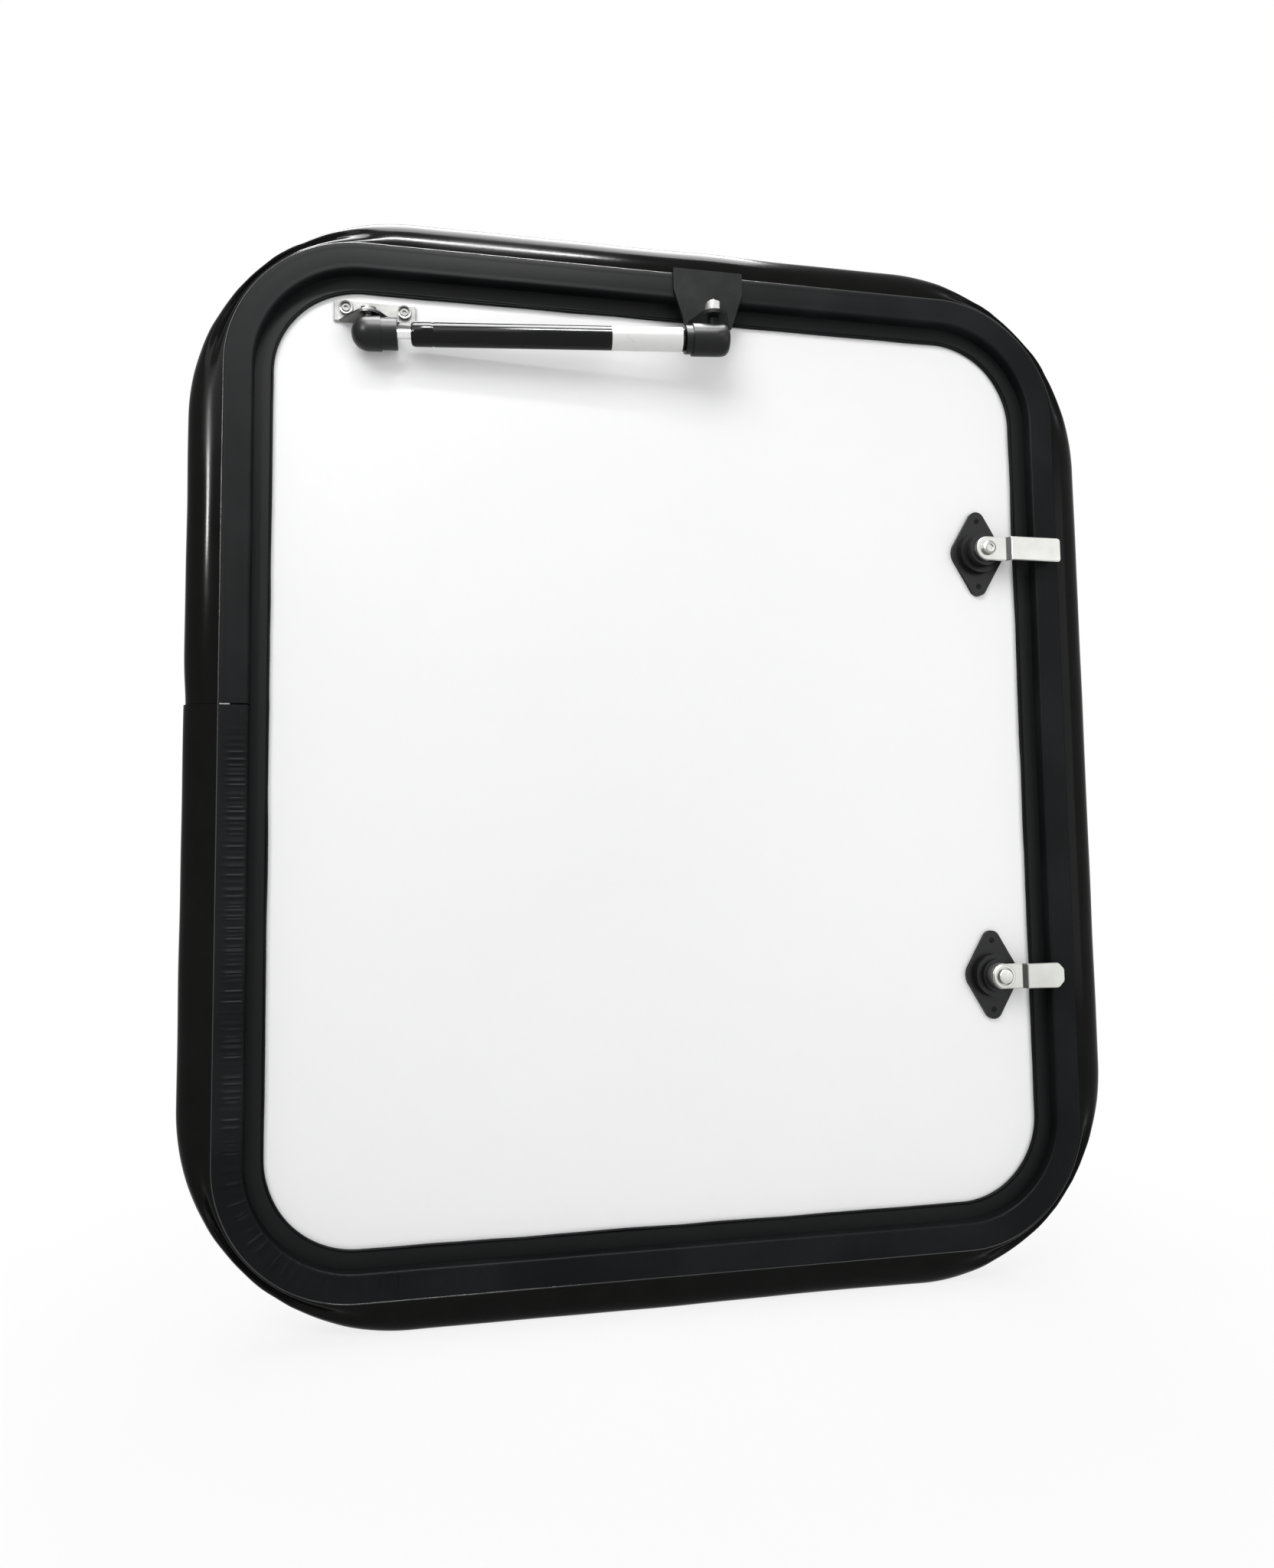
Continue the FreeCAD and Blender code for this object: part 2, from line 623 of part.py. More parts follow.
# Hinge: two leaves with alternate knuckles on one pin, outside the left edge
HINGE_X = "(" + SIGHT_LEFT + " - Dims.hinge_offset)"
HINGE_Y = "(Dims.flange_thickness + Dims.knuckle_radius)"
HINGE_Z = "(" + MIDDLE + " - Dims.hinge_length / 2)"
PITCH = "(Dims.hinge_length / Dims.knuckle_count)"
RELIEF = "(Dims.knuckle_radius + Dims.knuckle_relief)"
for owner, hand, odd in (("Frame", "-", 0), ("Door", "+", 1)):
    pieces = []
    edge_x = HINGE_X + " " + hand + " " + RELIEF
    if hand == "-":
        edge_x = edge_x + " - Dims.hinge_leaf_width"
    pieces.append(block(owner + "LeafPlate", edge_x, "Dims.flange_thickness", HINGE_Z, "Dims.hinge_leaf_width",
                        "Dims.hinge_leaf_thickness", "Dims.hinge_length"))
    for k in range(odd, int(dims.knuckle_count), 2):
        low = HINGE_Z + " + " + str(k) + " * " + PITCH + " + Dims.knuckle_gap / 2"
        tall = PITCH + " - Dims.knuckle_gap"
        pieces.append(rod(owner + "Knuckle" + str(k), HINGE_X, HINGE_Y, low, "Dims.knuckle_radius", tall))
        strap_x = HINGE_X
        if hand == "-":
            strap_x = HINGE_X + " - " + RELIEF
        pieces.append(block(owner + "Strap" + str(k), strap_x, "Dims.flange_thickness", low, RELIEF,
                            "Dims.hinge_leaf_thickness", tall))
    eye = rod(owner + "HingeEye", HINGE_X, HINGE_Y, HINGE_Z + " - Dims.knuckle_gap", "Dims.pin_radius + Dims.pin_gap",
              "Dims.hinge_length + 2 * Dims.knuckle_gap")
    nodes["hinge_" + owner.lower() + "_leaf"] = cut(owner + "HingeLeaf", fuse(owner + "LeafSolid", pieces), eye)
pin_shank = rod("PinShank", HINGE_X, HINGE_Y, HINGE_Z, "Dims.pin_radius", "Dims.hinge_length")
pin_foot = rod("PinFoot", HINGE_X, HINGE_Y, HINGE_Z + " - Dims.pin_head_height", "Dims.pin_head_radius",
               "Dims.pin_head_height")
pin_head = rod("PinHead", HINGE_X, HINGE_Y, HINGE_Z + " + Dims.hinge_length", "Dims.pin_head_radius",
               "Dims.pin_head_height")
nodes["hinge_pin"] = fuse("HingePin", [pin_shank, pin_foot, pin_head])

# Leaf: two skins on a foam core inside a thin rim, drilled for the two locks
LATCH_X = "(" + SIGHT_RIGHT + " - Dims.latch_inset)"
UPPER_Z = "(" + MIDDLE + " + Dims.latch_rise)"
LOWER_Z = "(" + MIDDLE + " - Dims.latch_rise)"
INSIDE_RIM = "(Dims.leaf_overlap - Dims.rim_thickness)"


def lock_holes(name):
    holes = []
    for tag, level in (("Upper", UPPER_Z), ("Lower", LOWER_Z)):
        holes.append(rod(name + tag + "Hole", LATCH_X, "2 * Dims.flange_thickness", level,
                         "Dims.lock_tube_radius + Dims.lock_hole_gap", "2 * Dims.leaf_thickness", INWARD))
    return fuse(name + "Holes", holes)


layers = [
    ("door_outer_skin", "DoorOuterSkin", "-Dims.flange_thickness", "Dims.skin_thickness"),
    ("door_core", "DoorCore", "Dims.skin_thickness - Dims.flange_thickness",
     "Dims.leaf_thickness - 2 * Dims.skin_thickness"),
    ("door_inner_skin", "DoorInnerSkin", PANEL + " - Dims.skin_thickness", "Dims.skin_thickness"),
]
for node, name, lift, depth in layers:
    layer = body(name)
    plate(layer, name + "Sheet", lift, depth, INSIDE_RIM, concentric(INSIDE_RIM))
    nodes[node] = cut(name + "Drilled", layer, lock_holes(name))
rim = body("DoorRim")
ring(rim, "RimBand", "-Dims.flange_thickness", "Dims.leaf_thickness", "Dims.leaf_overlap", INSIDE_RIM)
nodes["door_rim"] = rim

# Door bracket: a zinc plate on the panel with a tab bent out at its lower edge, and the ball stud under it
DOOR_BALL_X = "(" + SIGHT_LEFT + " + Dims.door_ball_inset)"
DOOR_BALL_Y = "(-(" + PANEL + " + Dims.door_ball_stand))"
DOOR_BALL_Z = "(" + SIGHT_TOP + " - Dims.door_ball_drop)"
DOOR_TAB = "(" + DOOR_BALL_Z + " + Dims.door_tab_rise)"
door_tab_body = body("DoorTab")
door_tab = sketch(door_tab_body, "DoorTabOutline", "XY_Plane", DOOR_TAB, DOOR_BALL_X, "-" + PANEL)
tongue(door_tab, "Dims.door_tab_root", "Dims.door_tab_tip", "Dims.door_tab_reach")
pad(door_tab_body, "DoorTabPad", door_tab, "Dims.door_plate_thickness")
door_plate = block("DoorPlate", SIGHT_LEFT + " + Dims.door_plate_inset - Dims.door_plate_width / 2",
                   "-" + PANEL + " - Dims.door_plate_thickness", DOOR_TAB, "Dims.door_plate_width",
                   "Dims.door_plate_thickness", "Dims.door_plate_height")
stud_hole = rod("DoorStudHole", DOOR_BALL_X, DOOR_BALL_Y, DOOR_BALL_Z, "Dims.stud_radius", "2 * Dims.door_tab_rise")
nodes["door_strut_bracket"] = cut("DoorStrutBracket", fuse("DoorBracketSolid", [door_plate, door_tab_body]),
                                  stud_hole)
door_ball = ball("DoorBall", DOOR_BALL_X, DOOR_BALL_Y, DOOR_BALL_Z, "Dims.ball_radius")
door_neck = rod("DoorStudNeck", DOOR_BALL_X, DOOR_BALL_Y, DOOR_BALL_Z, "Dims.stud_radius",
                "Dims.door_tab_rise + Dims.door_plate_thickness")
door_head = rod("DoorStudHead", DOOR_BALL_X, DOOR_BALL_Y, DOOR_TAB + " + Dims.door_plate_thickness",
                "Dims.stud_head_radius", "Dims.stud_head_height")
nodes["door_ball_stud"] = fuse("DoorBallStud", [door_ball, door_neck, door_head])

# Strut: it lies from the door's ball to the frame's, both in one slanted line
FRAME_BALL_X = HOOK_X
RUN_X = "(Dims.frame_ball_inset - Dims.door_ball_inset)"
RUN_Y = "(Dims.door_ball_stand - Dims.frame_ball_stand)"
RUN_Z = "(Dims.door_ball_drop - Dims.frame_ball_drop)"
SPAN = "sqrt(" + RUN_X + "^2 + " + RUN_Y + "^2 + " + RUN_Z + "^2)"
YAW = "atan(" + RUN_Y + " / " + RUN_X + ")"
LYING = "rotation(" + YAW + "; acos(" + RUN_Z + " / " + SPAN + "); 0)"


def lying(name, start, radius, length):
    """A cylinder on the strut's line, starting at a distance from the door's ball."""
    made = doc.addObject("Part::Cylinder", name)
    made.setExpression("Radius", radius)
    made.setExpression("Height", length)
    share = "(" + start + ") / " + SPAN
    x = DOOR_BALL_X + " + " + RUN_X + " * " + share
    y = DOOR_BALL_Y + " + " + RUN_Y + " * " + share
    z = DOOR_BALL_Z + " + " + RUN_Z + " * " + share
    made.setExpression("Placement", "placement(vector(" + x + "; " + y + "; " + z + "); " + LYING + ")")
    return made


rod_head = ball("RodSocketHead", DOOR_BALL_X, DOOR_BALL_Y, DOOR_BALL_Z, "Dims.rod_socket_radius")
rod_bulk = lying("RodSocketBulk", "0", "Dims.rod_socket_radius", "Dims.rod_socket_bulk")
rod_waist = lying("RodSocketWaist", "0", "Dims.rod_socket_waist", "Dims.rod_socket_length")
rod_seat = ball("RodSocketSeat", DOOR_BALL_X, DOOR_BALL_Y, DOOR_BALL_Z, "Dims.ball_radius + Dims.ball_gap")
rod_mouth = rod("RodSocketMouth", DOOR_BALL_X, DOOR_BALL_Y, DOOR_BALL_Z, "Dims.stud_radius + Dims.stud_mouth_gap",
                "2 * Dims.rod_socket_radius")
rod_thread = lying("RodSocketThread", "Dims.rod_socket_length - Dims.rod_bite", "Dims.rod_radius",
                   "2 * Dims.rod_bite")
nodes["rod_end_socket"] = cut("RodEndSocket", fuse("RodSocketSolid", [rod_head, rod_bulk, rod_waist]),
                              fuse("RodSocketSpaces", [rod_seat, rod_mouth, rod_thread]))
nodes["piston_rod"] = lying("PistonRod", "Dims.rod_socket_length - Dims.rod_bite", "Dims.rod_radius",
                            "Dims.rod_bite + Dims.rod_show + Dims.rod_inside")
TUBE_START = "(Dims.rod_socket_length + Dims.rod_show)"
TUBE_LENGTH = "(" + SPAN + " - Dims.tube_end_length - " + TUBE_START + ")"
tube_skin = lying("TubeSkin", TUBE_START, "Dims.tube_radius", TUBE_LENGTH)
tube_bore = lying("TubeBore", TUBE_START + " + Dims.tube_cap", "Dims.tube_bore", TUBE_LENGTH + " - 2 * Dims.tube_cap")
gland = lying("TubeGland", TUBE_START + " - 1", "Dims.rod_radius + Dims.gland_gap", "Dims.tube_cap + 2")
nodes["strut_tube"] = cut("StrutTube", tube_skin, fuse("TubeSpaces", [tube_bore, gland]))
end_collar = lying("EndCollar", SPAN + " - Dims.tube_end_length", "Dims.tube_collar_radius",
                   "Dims.tube_end_length")
end_bulk = lying("EndBulk", SPAN + " - Dims.tube_end_length + Dims.tube_collar_length", "Dims.tube_socket_radius",
                 "Dims.tube_end_length - Dims.tube_collar_length")
end_head = ball("EndHead", FRAME_BALL_X, FRAME_BALL_Y, FRAME_BALL_Z, "Dims.tube_socket_radius")
end_seat = ball("EndSeat", FRAME_BALL_X, FRAME_BALL_Y, FRAME_BALL_Z, "Dims.ball_radius + Dims.ball_gap")
end_mouth = rod("EndMouth", FRAME_BALL_X, FRAME_BALL_Y, FRAME_BALL_Z, "Dims.frame_stud_radius + Dims.ball_gap",
                "2 * Dims.tube_socket_radius")
nodes["tube_end_socket"] = cut("TubeEndSocket", fuse("EndSolid", [end_collar, end_bulk, end_head]),
                               fuse("EndSpaces", [end_seat, end_mouth]))
frame_ball = ball("FrameBall", FRAME_BALL_X, FRAME_BALL_Y, FRAME_BALL_Z, "Dims.ball_radius")
frame_neck = rod("FrameStudNeck", FRAME_BALL_X, FRAME_BALL_Y, FRAME_BALL_Z, "Dims.frame_stud_radius",
                 "Dims.frame_tab_rise - Dims.open_pivot_gap")
nodes["frame_ball_stud"] = fuse("FrameBallStud", [frame_ball, frame_neck])


def diamond(drawn):
    """The latch plate's outline: four straight sides joined by round tips."""
    point = FreeCAD.Vector
    axis = FreeCAD.Vector(0, 0, 1)
    tall = dims.plate_half_height - dims.plate_tip
    wide = dims.plate_half_width - dims.plate_side
    lean = math.atan2(tall, wide)
    tip = dims.plate_tip
    side = dims.plate_side
    nx, ny = math.sin(lean), math.cos(lean)
    quarter = math.pi / 2
    first = drawn.GeometryCount
    drawn.addGeometry(Part.ArcOfCircle(Part.Circle(point(wide, 0, 0), axis, side), lean - quarter, quarter - lean))
    drawn.addGeometry(Part.LineSegment(point(wide + side * nx, side * ny, 0), point(tip * nx, tall + tip * ny, 0)))
    drawn.addGeometry(Part.ArcOfCircle(Part.Circle(point(0, tall, 0), axis, tip), quarter - lean, quarter + lean))
    drawn.addGeometry(Part.LineSegment(point(-tip * nx, tall + tip * ny, 0), point(-wide - side * nx, side * ny, 0)))
    drawn.addGeometry(Part.ArcOfCircle(Part.Circle(point(-wide, 0, 0), axis, side), quarter + lean, 3 * quarter - lean))
    drawn.addGeometry(Part.LineSegment(point(-wide - side * nx, -side * ny, 0), point(-tip * nx, -tall - tip * ny, 0)))
    drawn.addGeometry(Part.ArcOfCircle(Part.Circle(point(0, -tall, 0), axis, tip), 3 * quarter - lean, 3 * quarter + lean))
    drawn.addGeometry(Part.LineSegment(point(tip * nx, -tall - tip * ny, 0), point(wide + side * nx, -side * ny, 0)))
    for step in range(8):
        drawn.addConstraint(Sketcher.Constraint("Tangent", first + step, 2, first + (step + 1) % 8, 1))
    drawn.addConstraint(Sketcher.Constraint("PointOnObject", first, 3, -1))
    drawn.addConstraint(Sketcher.Constraint("PointOnObject", first + 2, 3, -2))
    drawn.addConstraint(Sketcher.Constraint("Symmetric", first, 3, first + 4, 3, -1, 1))
    drawn.addConstraint(Sketcher.Constraint("Symmetric", first + 2, 3, first + 6, 3, -1, 1))
    drawn.addConstraint(Sketcher.Constraint("Equal", first, first + 4))
    drawn.addConstraint(Sketcher.Constraint("Equal", first + 2, first + 6))
    bind(drawn, Sketcher.Constraint("Radius", first, side), "side_bend", "Dims.plate_side")
    bind(drawn, Sketcher.Constraint("Radius", first + 2, tip), "tip_bend", "Dims.plate_tip")
    bind(drawn, Sketcher.Constraint("DistanceX", -1, 1, first, 3, wide), "side_across",
         "Dims.plate_half_width - Dims.plate_side")
    bind(drawn, Sketcher.Constraint("DistanceY", -1, 1, first + 2, 3, tall), "tip_up",
         "Dims.plate_half_height - Dims.plate_tip")


# Latches: a plate and sleeve through the leaf, a bezel outside, a spindle and a cranked cam on its end
CAM_INNER = "(" + FLAT + " + Dims.cam_clear)"
CAM_OUTER = "(" + CAM_INNER + " + Dims.cam_step)"
for tag, level in (("Upper", UPPER_Z), ("Lower", LOWER_Z)):
    word = tag.lower()
    plate_body = body(tag + "LatchPlate")
    plate_drawn = sketch(plate_body, tag + "LatchOutline", "XZ_Plane", PANEL, LATCH_X, level)
    diamond(plate_drawn)
    pad(plate_body, tag + "LatchPad", plate_drawn, "Dims.plate_thickness")
    collar = rod(tag + "Collar", LATCH_X, "-" + PANEL, level, "Dims.collar_radius", "Dims.collar_height", INWARD)
    neck = rod(tag + "Neck", LATCH_X, "-" + PANEL, level, "Dims.neck_radius", "Dims." + word + "_neck_height", INWARD)
    sleeve = rod(tag + "Sleeve", LATCH_X, "Dims.flange_thickness", level, "Dims.lock_tube_radius",
                 "Dims.leaf_thickness", INWARD)
    running = rod(tag + "Running", LATCH_X, "3 * Dims.flange_thickness", level,
                  "Dims.spindle_radius + Dims.spindle_gap", "2 * Dims.leaf_thickness", INWARD)
    latch_solid = fuse(tag + "LatchSolid", [plate_body, collar, neck, sleeve])
    nodes[word + "_latch_body"] = cut(tag + "LatchBody", latch_solid, running)
    bezel_disc = rod(tag + "BezelDisc", LATCH_X, "Dims.flange_thickness + Dims.bezel_height", level,
                     "Dims.bezel_radius", "Dims.bezel_height", INWARD)
    bezel_hole = rod(tag + "BezelHole", LATCH_X, "3 * Dims.flange_thickness + Dims.bezel_height", level,
                     "Dims.spindle_radius + Dims.spindle_gap", "2 * Dims.leaf_thickness", INWARD)
    nodes[word + "_lock_bezel"] = cut(tag + "LockBezel", bezel_disc, bezel_hole)
    plug = "Dims.flange_thickness + Dims.bezel_height - Dims.plug_inset"
    barrel = rod(tag + "Barrel", LATCH_X, plug, level, "Dims.spindle_radius", CAM_INNER + " + " + plug, INWARD)
    stud = rod(tag + "CamStud", LATCH_X, "-" + CAM_INNER, level, "Dims.cam_stud_radius",
               "Dims.cam_thickness + Dims.cam_stud_show", INWARD)
    nodes[word + "_lock_spindle"] = fuse(tag + "LockSpindle", [barrel, stud])
    arm = body(tag + "CamArm")
    arm_drawn = sketch(arm, tag + "CamOutline", "XY_Plane", level, LATCH_X + " - Dims.cam_heel",
                       "-" + CAM_OUTER + " - Dims.cam_thickness")
    BEND = "(Dims.cam_heel + Dims.cam_bend_start)"
    LENGTH = "(Dims.cam_heel + Dims." + word + "_cam_length)"
    polygon(arm_drawn, [
        ("0", "Dims.cam_step"),
        (BEND, "Dims.cam_step"),
        (BEND + " + Dims.cam_bend_run", "0"),
        (LENGTH, "0"),
        (LENGTH, "Dims.cam_thickness"),
        (BEND + " + Dims.cam_bend_run", "Dims.cam_thickness"),
        (BEND, "Dims.cam_step + Dims.cam_thickness"),
        ("0", "Dims.cam_step + Dims.cam_thickness"),
    ])
    arm_pad = pad(arm, tag + "CamPad", arm_drawn, "Dims.cam_width")
    arm_pad.Midplane = True
    doc.recompute()
    low_x = arm_pad.Shape.BoundBox.XMin
    high_x = arm_pad.Shape.BoundBox.XMax

    def heel_edge(edge, low=low_x):
        box = edge.BoundBox
        return box.XMax < low + 0.01 and box.YLength > 1

    def tip_edge(edge, high=high_x):
        box = edge.BoundBox
        return box.XMin > high - 0.01 and box.YLength > 1

    heel = rounding(arm, tag + "CamHeel", arm_pad, heel_edge, "Dims.cam_heel_round")
    chamfering(arm, tag + "CamTip", heel, tip_edge, "Dims." + word + "_cam_tip")
    eye = rod(tag + "CamEye", LATCH_X, "-" + CAM_INNER + " + Dims.cam_thickness", level, "Dims.cam_stud_radius",
              "4 * Dims.cam_thickness", INWARD)
    nodes[word + "_cam"] = cut(tag + "Cam", arm, eye)

doc.recompute()
wrong = []
for made in doc.Objects:
    if "Invalid" in made.State or "Error" in made.State:
        wrong.append(made.Name + " " + str(made.State))
    if hasattr(made, "Shape") and not made.isDerivedFrom("Sketcher::SketchObject"):
        if made.TypeId not in ("App::Plane", "App::Line", "App::Origin", "App::Point"):
            if made.Shape.isNull() or not made.Shape.isValid():
                wrong.append(made.Name + " has no valid shape")
if wrong:
    raise RuntimeError("; ".join(wrong))

os.makedirs("parts", exist_ok=True)
for node in sorted(nodes):
    nodes[node].Label = node
    nodes[node].Shape.exportStep(os.path.join("parts", node + ".step"))
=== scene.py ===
import json
import math

import bmesh
import bpy
from mathutils import Matrix, Vector

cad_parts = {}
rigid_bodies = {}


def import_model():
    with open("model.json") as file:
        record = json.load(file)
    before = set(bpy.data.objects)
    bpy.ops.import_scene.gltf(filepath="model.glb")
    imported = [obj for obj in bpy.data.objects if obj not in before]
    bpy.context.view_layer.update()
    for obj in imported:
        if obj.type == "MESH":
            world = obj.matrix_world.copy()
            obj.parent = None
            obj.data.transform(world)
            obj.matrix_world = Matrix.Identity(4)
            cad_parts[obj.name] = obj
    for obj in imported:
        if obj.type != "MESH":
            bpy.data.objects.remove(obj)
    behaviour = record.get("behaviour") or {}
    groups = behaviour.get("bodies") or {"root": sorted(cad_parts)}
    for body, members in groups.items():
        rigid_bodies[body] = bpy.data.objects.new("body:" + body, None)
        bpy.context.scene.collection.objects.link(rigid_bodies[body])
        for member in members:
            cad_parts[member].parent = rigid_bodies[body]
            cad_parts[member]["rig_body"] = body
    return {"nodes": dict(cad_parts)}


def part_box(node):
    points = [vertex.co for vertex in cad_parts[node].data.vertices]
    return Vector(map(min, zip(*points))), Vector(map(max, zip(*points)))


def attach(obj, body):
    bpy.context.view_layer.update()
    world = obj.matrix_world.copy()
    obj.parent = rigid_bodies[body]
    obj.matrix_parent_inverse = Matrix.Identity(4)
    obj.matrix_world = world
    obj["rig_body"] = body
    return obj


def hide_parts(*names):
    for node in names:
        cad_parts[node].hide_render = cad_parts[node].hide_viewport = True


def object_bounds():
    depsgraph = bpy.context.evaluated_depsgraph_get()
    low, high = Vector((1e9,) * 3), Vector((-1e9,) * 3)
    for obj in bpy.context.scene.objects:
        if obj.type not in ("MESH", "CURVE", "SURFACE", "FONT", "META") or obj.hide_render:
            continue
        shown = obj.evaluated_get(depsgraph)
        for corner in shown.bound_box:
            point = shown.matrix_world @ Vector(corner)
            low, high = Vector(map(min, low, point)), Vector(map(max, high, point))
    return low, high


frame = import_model()
cad_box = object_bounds()


# Jamb frame: an aluminium extrusion bent round the opening, its flange outside the wall and its stop inside.
# It is powder coated satin black, and the stop shows as a dark band between the panel and the trim.
class Wire:
    """One socket of a node tree. Sums on wires add Math nodes, and node() adds any other node."""

    def __init__(self, tree, socket=None):
        self.tree = tree
        self.socket = socket

    def node(self, kind, settings=None, inputs=None, output=0):
        made = self.tree.nodes.new(kind)
        for name, value in (settings or {}).items():
            setattr(made, name, value)
        for key, value in (inputs or {}).items():
            if isinstance(value, Wire):
                self.tree.links.new(value.socket, made.inputs[key])
            else:
                made.inputs[key].default_value = value
        return Wire(self.tree, made.outputs[output] if len(made.outputs) else None)

    def sum(self, operation, first, second):
        return self.node("ShaderNodeMath", {"operation": operation}, {0: first, 1: second})

    def __add__(self, other):
        return self.sum("ADD", self, other)

    def __radd__(self, other):
        return self.sum("ADD", other, self)

    def __sub__(self, other):
        return self.sum("SUBTRACT", self, other)

    def __rsub__(self, other):
        return self.sum("SUBTRACT", other, self)

    def __mul__(self, other):
        return self.sum("MULTIPLY", self, other)

    def __rmul__(self, other):
        return self.sum("MULTIPLY", other, self)

    def __truediv__(self, other):
        return self.sum("DIVIDE", self, other)

    def between(self, low, high):
        """Nought below low, one above high, and a smooth climb from one to the other."""
        settings = {"interpolation_type": "SMOOTHSTEP"}
        inputs = {"Value": self, "From Min": low, "From Max": high}
        return self.node("ShaderNodeMapRange", settings, inputs)

    def tint(self, first, second):
        """The first colour where this is nought, the second where it is one."""
        # The node's sockets share their names, so these are their numbers.
        factor, low_colour, high_colour, colour_out = 0, 6, 7, 2
        inputs = {factor: self, low_colour: first, high_colour: second}
        return self.node("ShaderNodeMix", {"data_type": "RGBA"}, inputs, colour_out)

    def grain(self, scale, detail=2.0, stretch=(1, 1, 1)):
        """Noise on the piece's own coordinates, so many lumps to the metre."""
        place = self.node("ShaderNodeTexCoord", None, None, "Object")
        turned_place = self.node("ShaderNodeMapping", None, {"Vector": place, "Scale": stretch})
        inputs = {"Vector": turned_place, "Scale": scale, "Detail": detail}
        return self.node("ShaderNodeTexNoise", None, inputs)

    def relief(self, depth, strength=1.0):
        """A bump so many metres deep, from this height."""
        inputs = {"Height": self, "Distance": depth, "Strength": strength}
        return self.node("ShaderNodeBump", None, inputs)


def new_finish(name):
    made = bpy.data.materials.new(name)
    made.use_nodes = True
    made.node_tree.nodes.clear()
    return made, Wire(made.node_tree)


def shade(net, inputs):
    shader = net.node("ShaderNodeBsdfPrincipled", None, inputs)
    net.node("ShaderNodeOutputMaterial", None, {"Surface": shader})


CREASE = math.radians(34)
SHARP_BEND = 0.55
NO_BEND = 0.01


def smooth_over(shape):
    """Smooth shading that breaks only at edges sharper than the crease."""
    for face in shape.faces:
        face.smooth = True
    for edge in shape.edges:
        edge.smooth = not edge.is_manifold or edge.calc_face_angle() < CREASE


def new_piece(name, shape, finish):
    mesh = bpy.data.meshes.new(name)
    shape.to_mesh(mesh)
    shape.free()
    mesh.materials.append(finish)
    piece = bpy.data.objects.new(name, mesh)
    bpy.context.scene.collection.objects.link(piece)
    return piece


def softened(node, finish, width, segments=2, reshape=None):
    """A solid with its sharp outer edges rounded over, on the solid's own body and in its place."""
    solid = frame["nodes"][node]
    shape = bmesh.new()
    spots = {}
    for face in solid.data.polygons:
        ring = []
        for index in face.vertices:
            spot = tuple(round(c, 6) for c in solid.data.vertices[index].co)
            if spot not in spots:
                spots[spot] = shape.verts.new(spot)
            ring.append(spots[spot])
        if len(set(ring)) == len(ring):
            shape.faces.new(ring)
    coplanar = math.radians(0.5)
    bmesh.ops.dissolve_limit(shape, angle_limit=coplanar, verts=shape.verts, edges=shape.edges)
    if reshape:
        reshape(shape)
    flat = shape.faces.layers.int.new("flat")
    for face in shape.faces:
        bends = [edge.calc_face_angle() for edge in face.edges if edge.is_manifold]
        face[flat] = all(painted_bend_shade < NO_BEND or painted_bend_shade > SHARP_BEND for painted_bend_shade in bends)
    sharp = []
    for edge in shape.edges:
        if edge.is_manifold and edge.is_convex and edge.calc_face_angle() > SHARP_BEND:
            sharp.append(edge)
    rounded = bmesh.ops.bevel(shape, geom=sharp, offset=width, segments=segments, affect="EDGES",
                              clamp_overlap=True)
    smooth_over(shape)
    for face in set(shape.faces) - set(rounded["faces"]):
        face.smooth = not face[flat]
    shape.faces.layers.int.remove(flat)
    piece = new_piece(node + "_finished", shape, finish)
    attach(piece, solid["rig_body"])
    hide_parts(node)
    return piece


powder_coat, net = new_finish("satin_black_powder_coat")
coat_cloud = net.grain(9.0, 3.0)
shade(net, {
    "Base Color": coat_cloud.tint((0.007, 0.0075, 0.008, 1), (0.012, 0.0125, 0.013, 1)),
    "Roughness": 0.42 + 0.12 * coat_cloud,
    "Specular IOR Level": 0.07,
    "Normal": net.grain(1400.0).relief(0.00004, 0.5),
})
softened("jamb_frame", powder_coat, 0.0004)


# Edge trim: an extruded rubber channel pushed over the frame's inner edge, its ends butted on the left.
# It is matt black, and has gathered in small ripples down the left side and round the lower corner.
TRIM_WIDTH = 0.0173
TRIM_REACH = 0.0285
SIGHT_RADIUS = 0.056
TRIM_LEG = 0.0120
TRIM_HEIGHT = 0.0090
WEB_BITE = 0.0065
WEB_HALF = 0.0013
JOINT_HEIGHT = 0.365
JOINT_GAP = 0.0009
trim_low, trim_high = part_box("edge_trim")
flat_level = -trim_low.y
sight_left = trim_low.x + TRIM_REACH
sight_right = trim_high.x - TRIM_REACH
sight_foot = trim_low.z + TRIM_REACH
sight_head = trim_high.z - TRIM_REACH
trim_inner = TRIM_REACH - TRIM_WIDTH


def lap(step, gap):
    """Points and their outward directions, once round the panel's visible edge, from joint to joint."""
    r = SIGHT_RADIUS
    corners = [
        (sight_left + r, sight_head - r, 180),
        (sight_right - r, sight_head - r, 90),
        (sight_right - r, sight_foot + r, 0),
        (sight_left + r, sight_foot + r, -90),
    ]
    found = [(Vector((sight_left, 0, JOINT_HEIGHT + gap / 2)), Vector((-1, 0, 0)))]

    def run_to(end, out):
        start = found[-1][0]
        count = max(1, math.ceil((end - start).length / step))
        for k in range(1, count + 1):
            found.append((start.lerp(end, k / count), out))

    for across, up, first in corners:
        turn = math.radians(first)
        out = Vector((math.cos(turn), 0, math.sin(turn)))
        centre = Vector((across, 0, up))
        run_to(centre + r * out, out)
        count = math.ceil(r * math.pi / 2 / step)
        for k in range(1, count + 1):
            turn = math.radians(first - 90 * k / count)
            out = Vector((math.cos(turn), 0, math.sin(turn)))
            found.append((centre + r * out, out))
    run_to(Vector((sight_left, 0, JOINT_HEIGHT - gap / 2)), Vector((-1, 0, 0)))
    return found


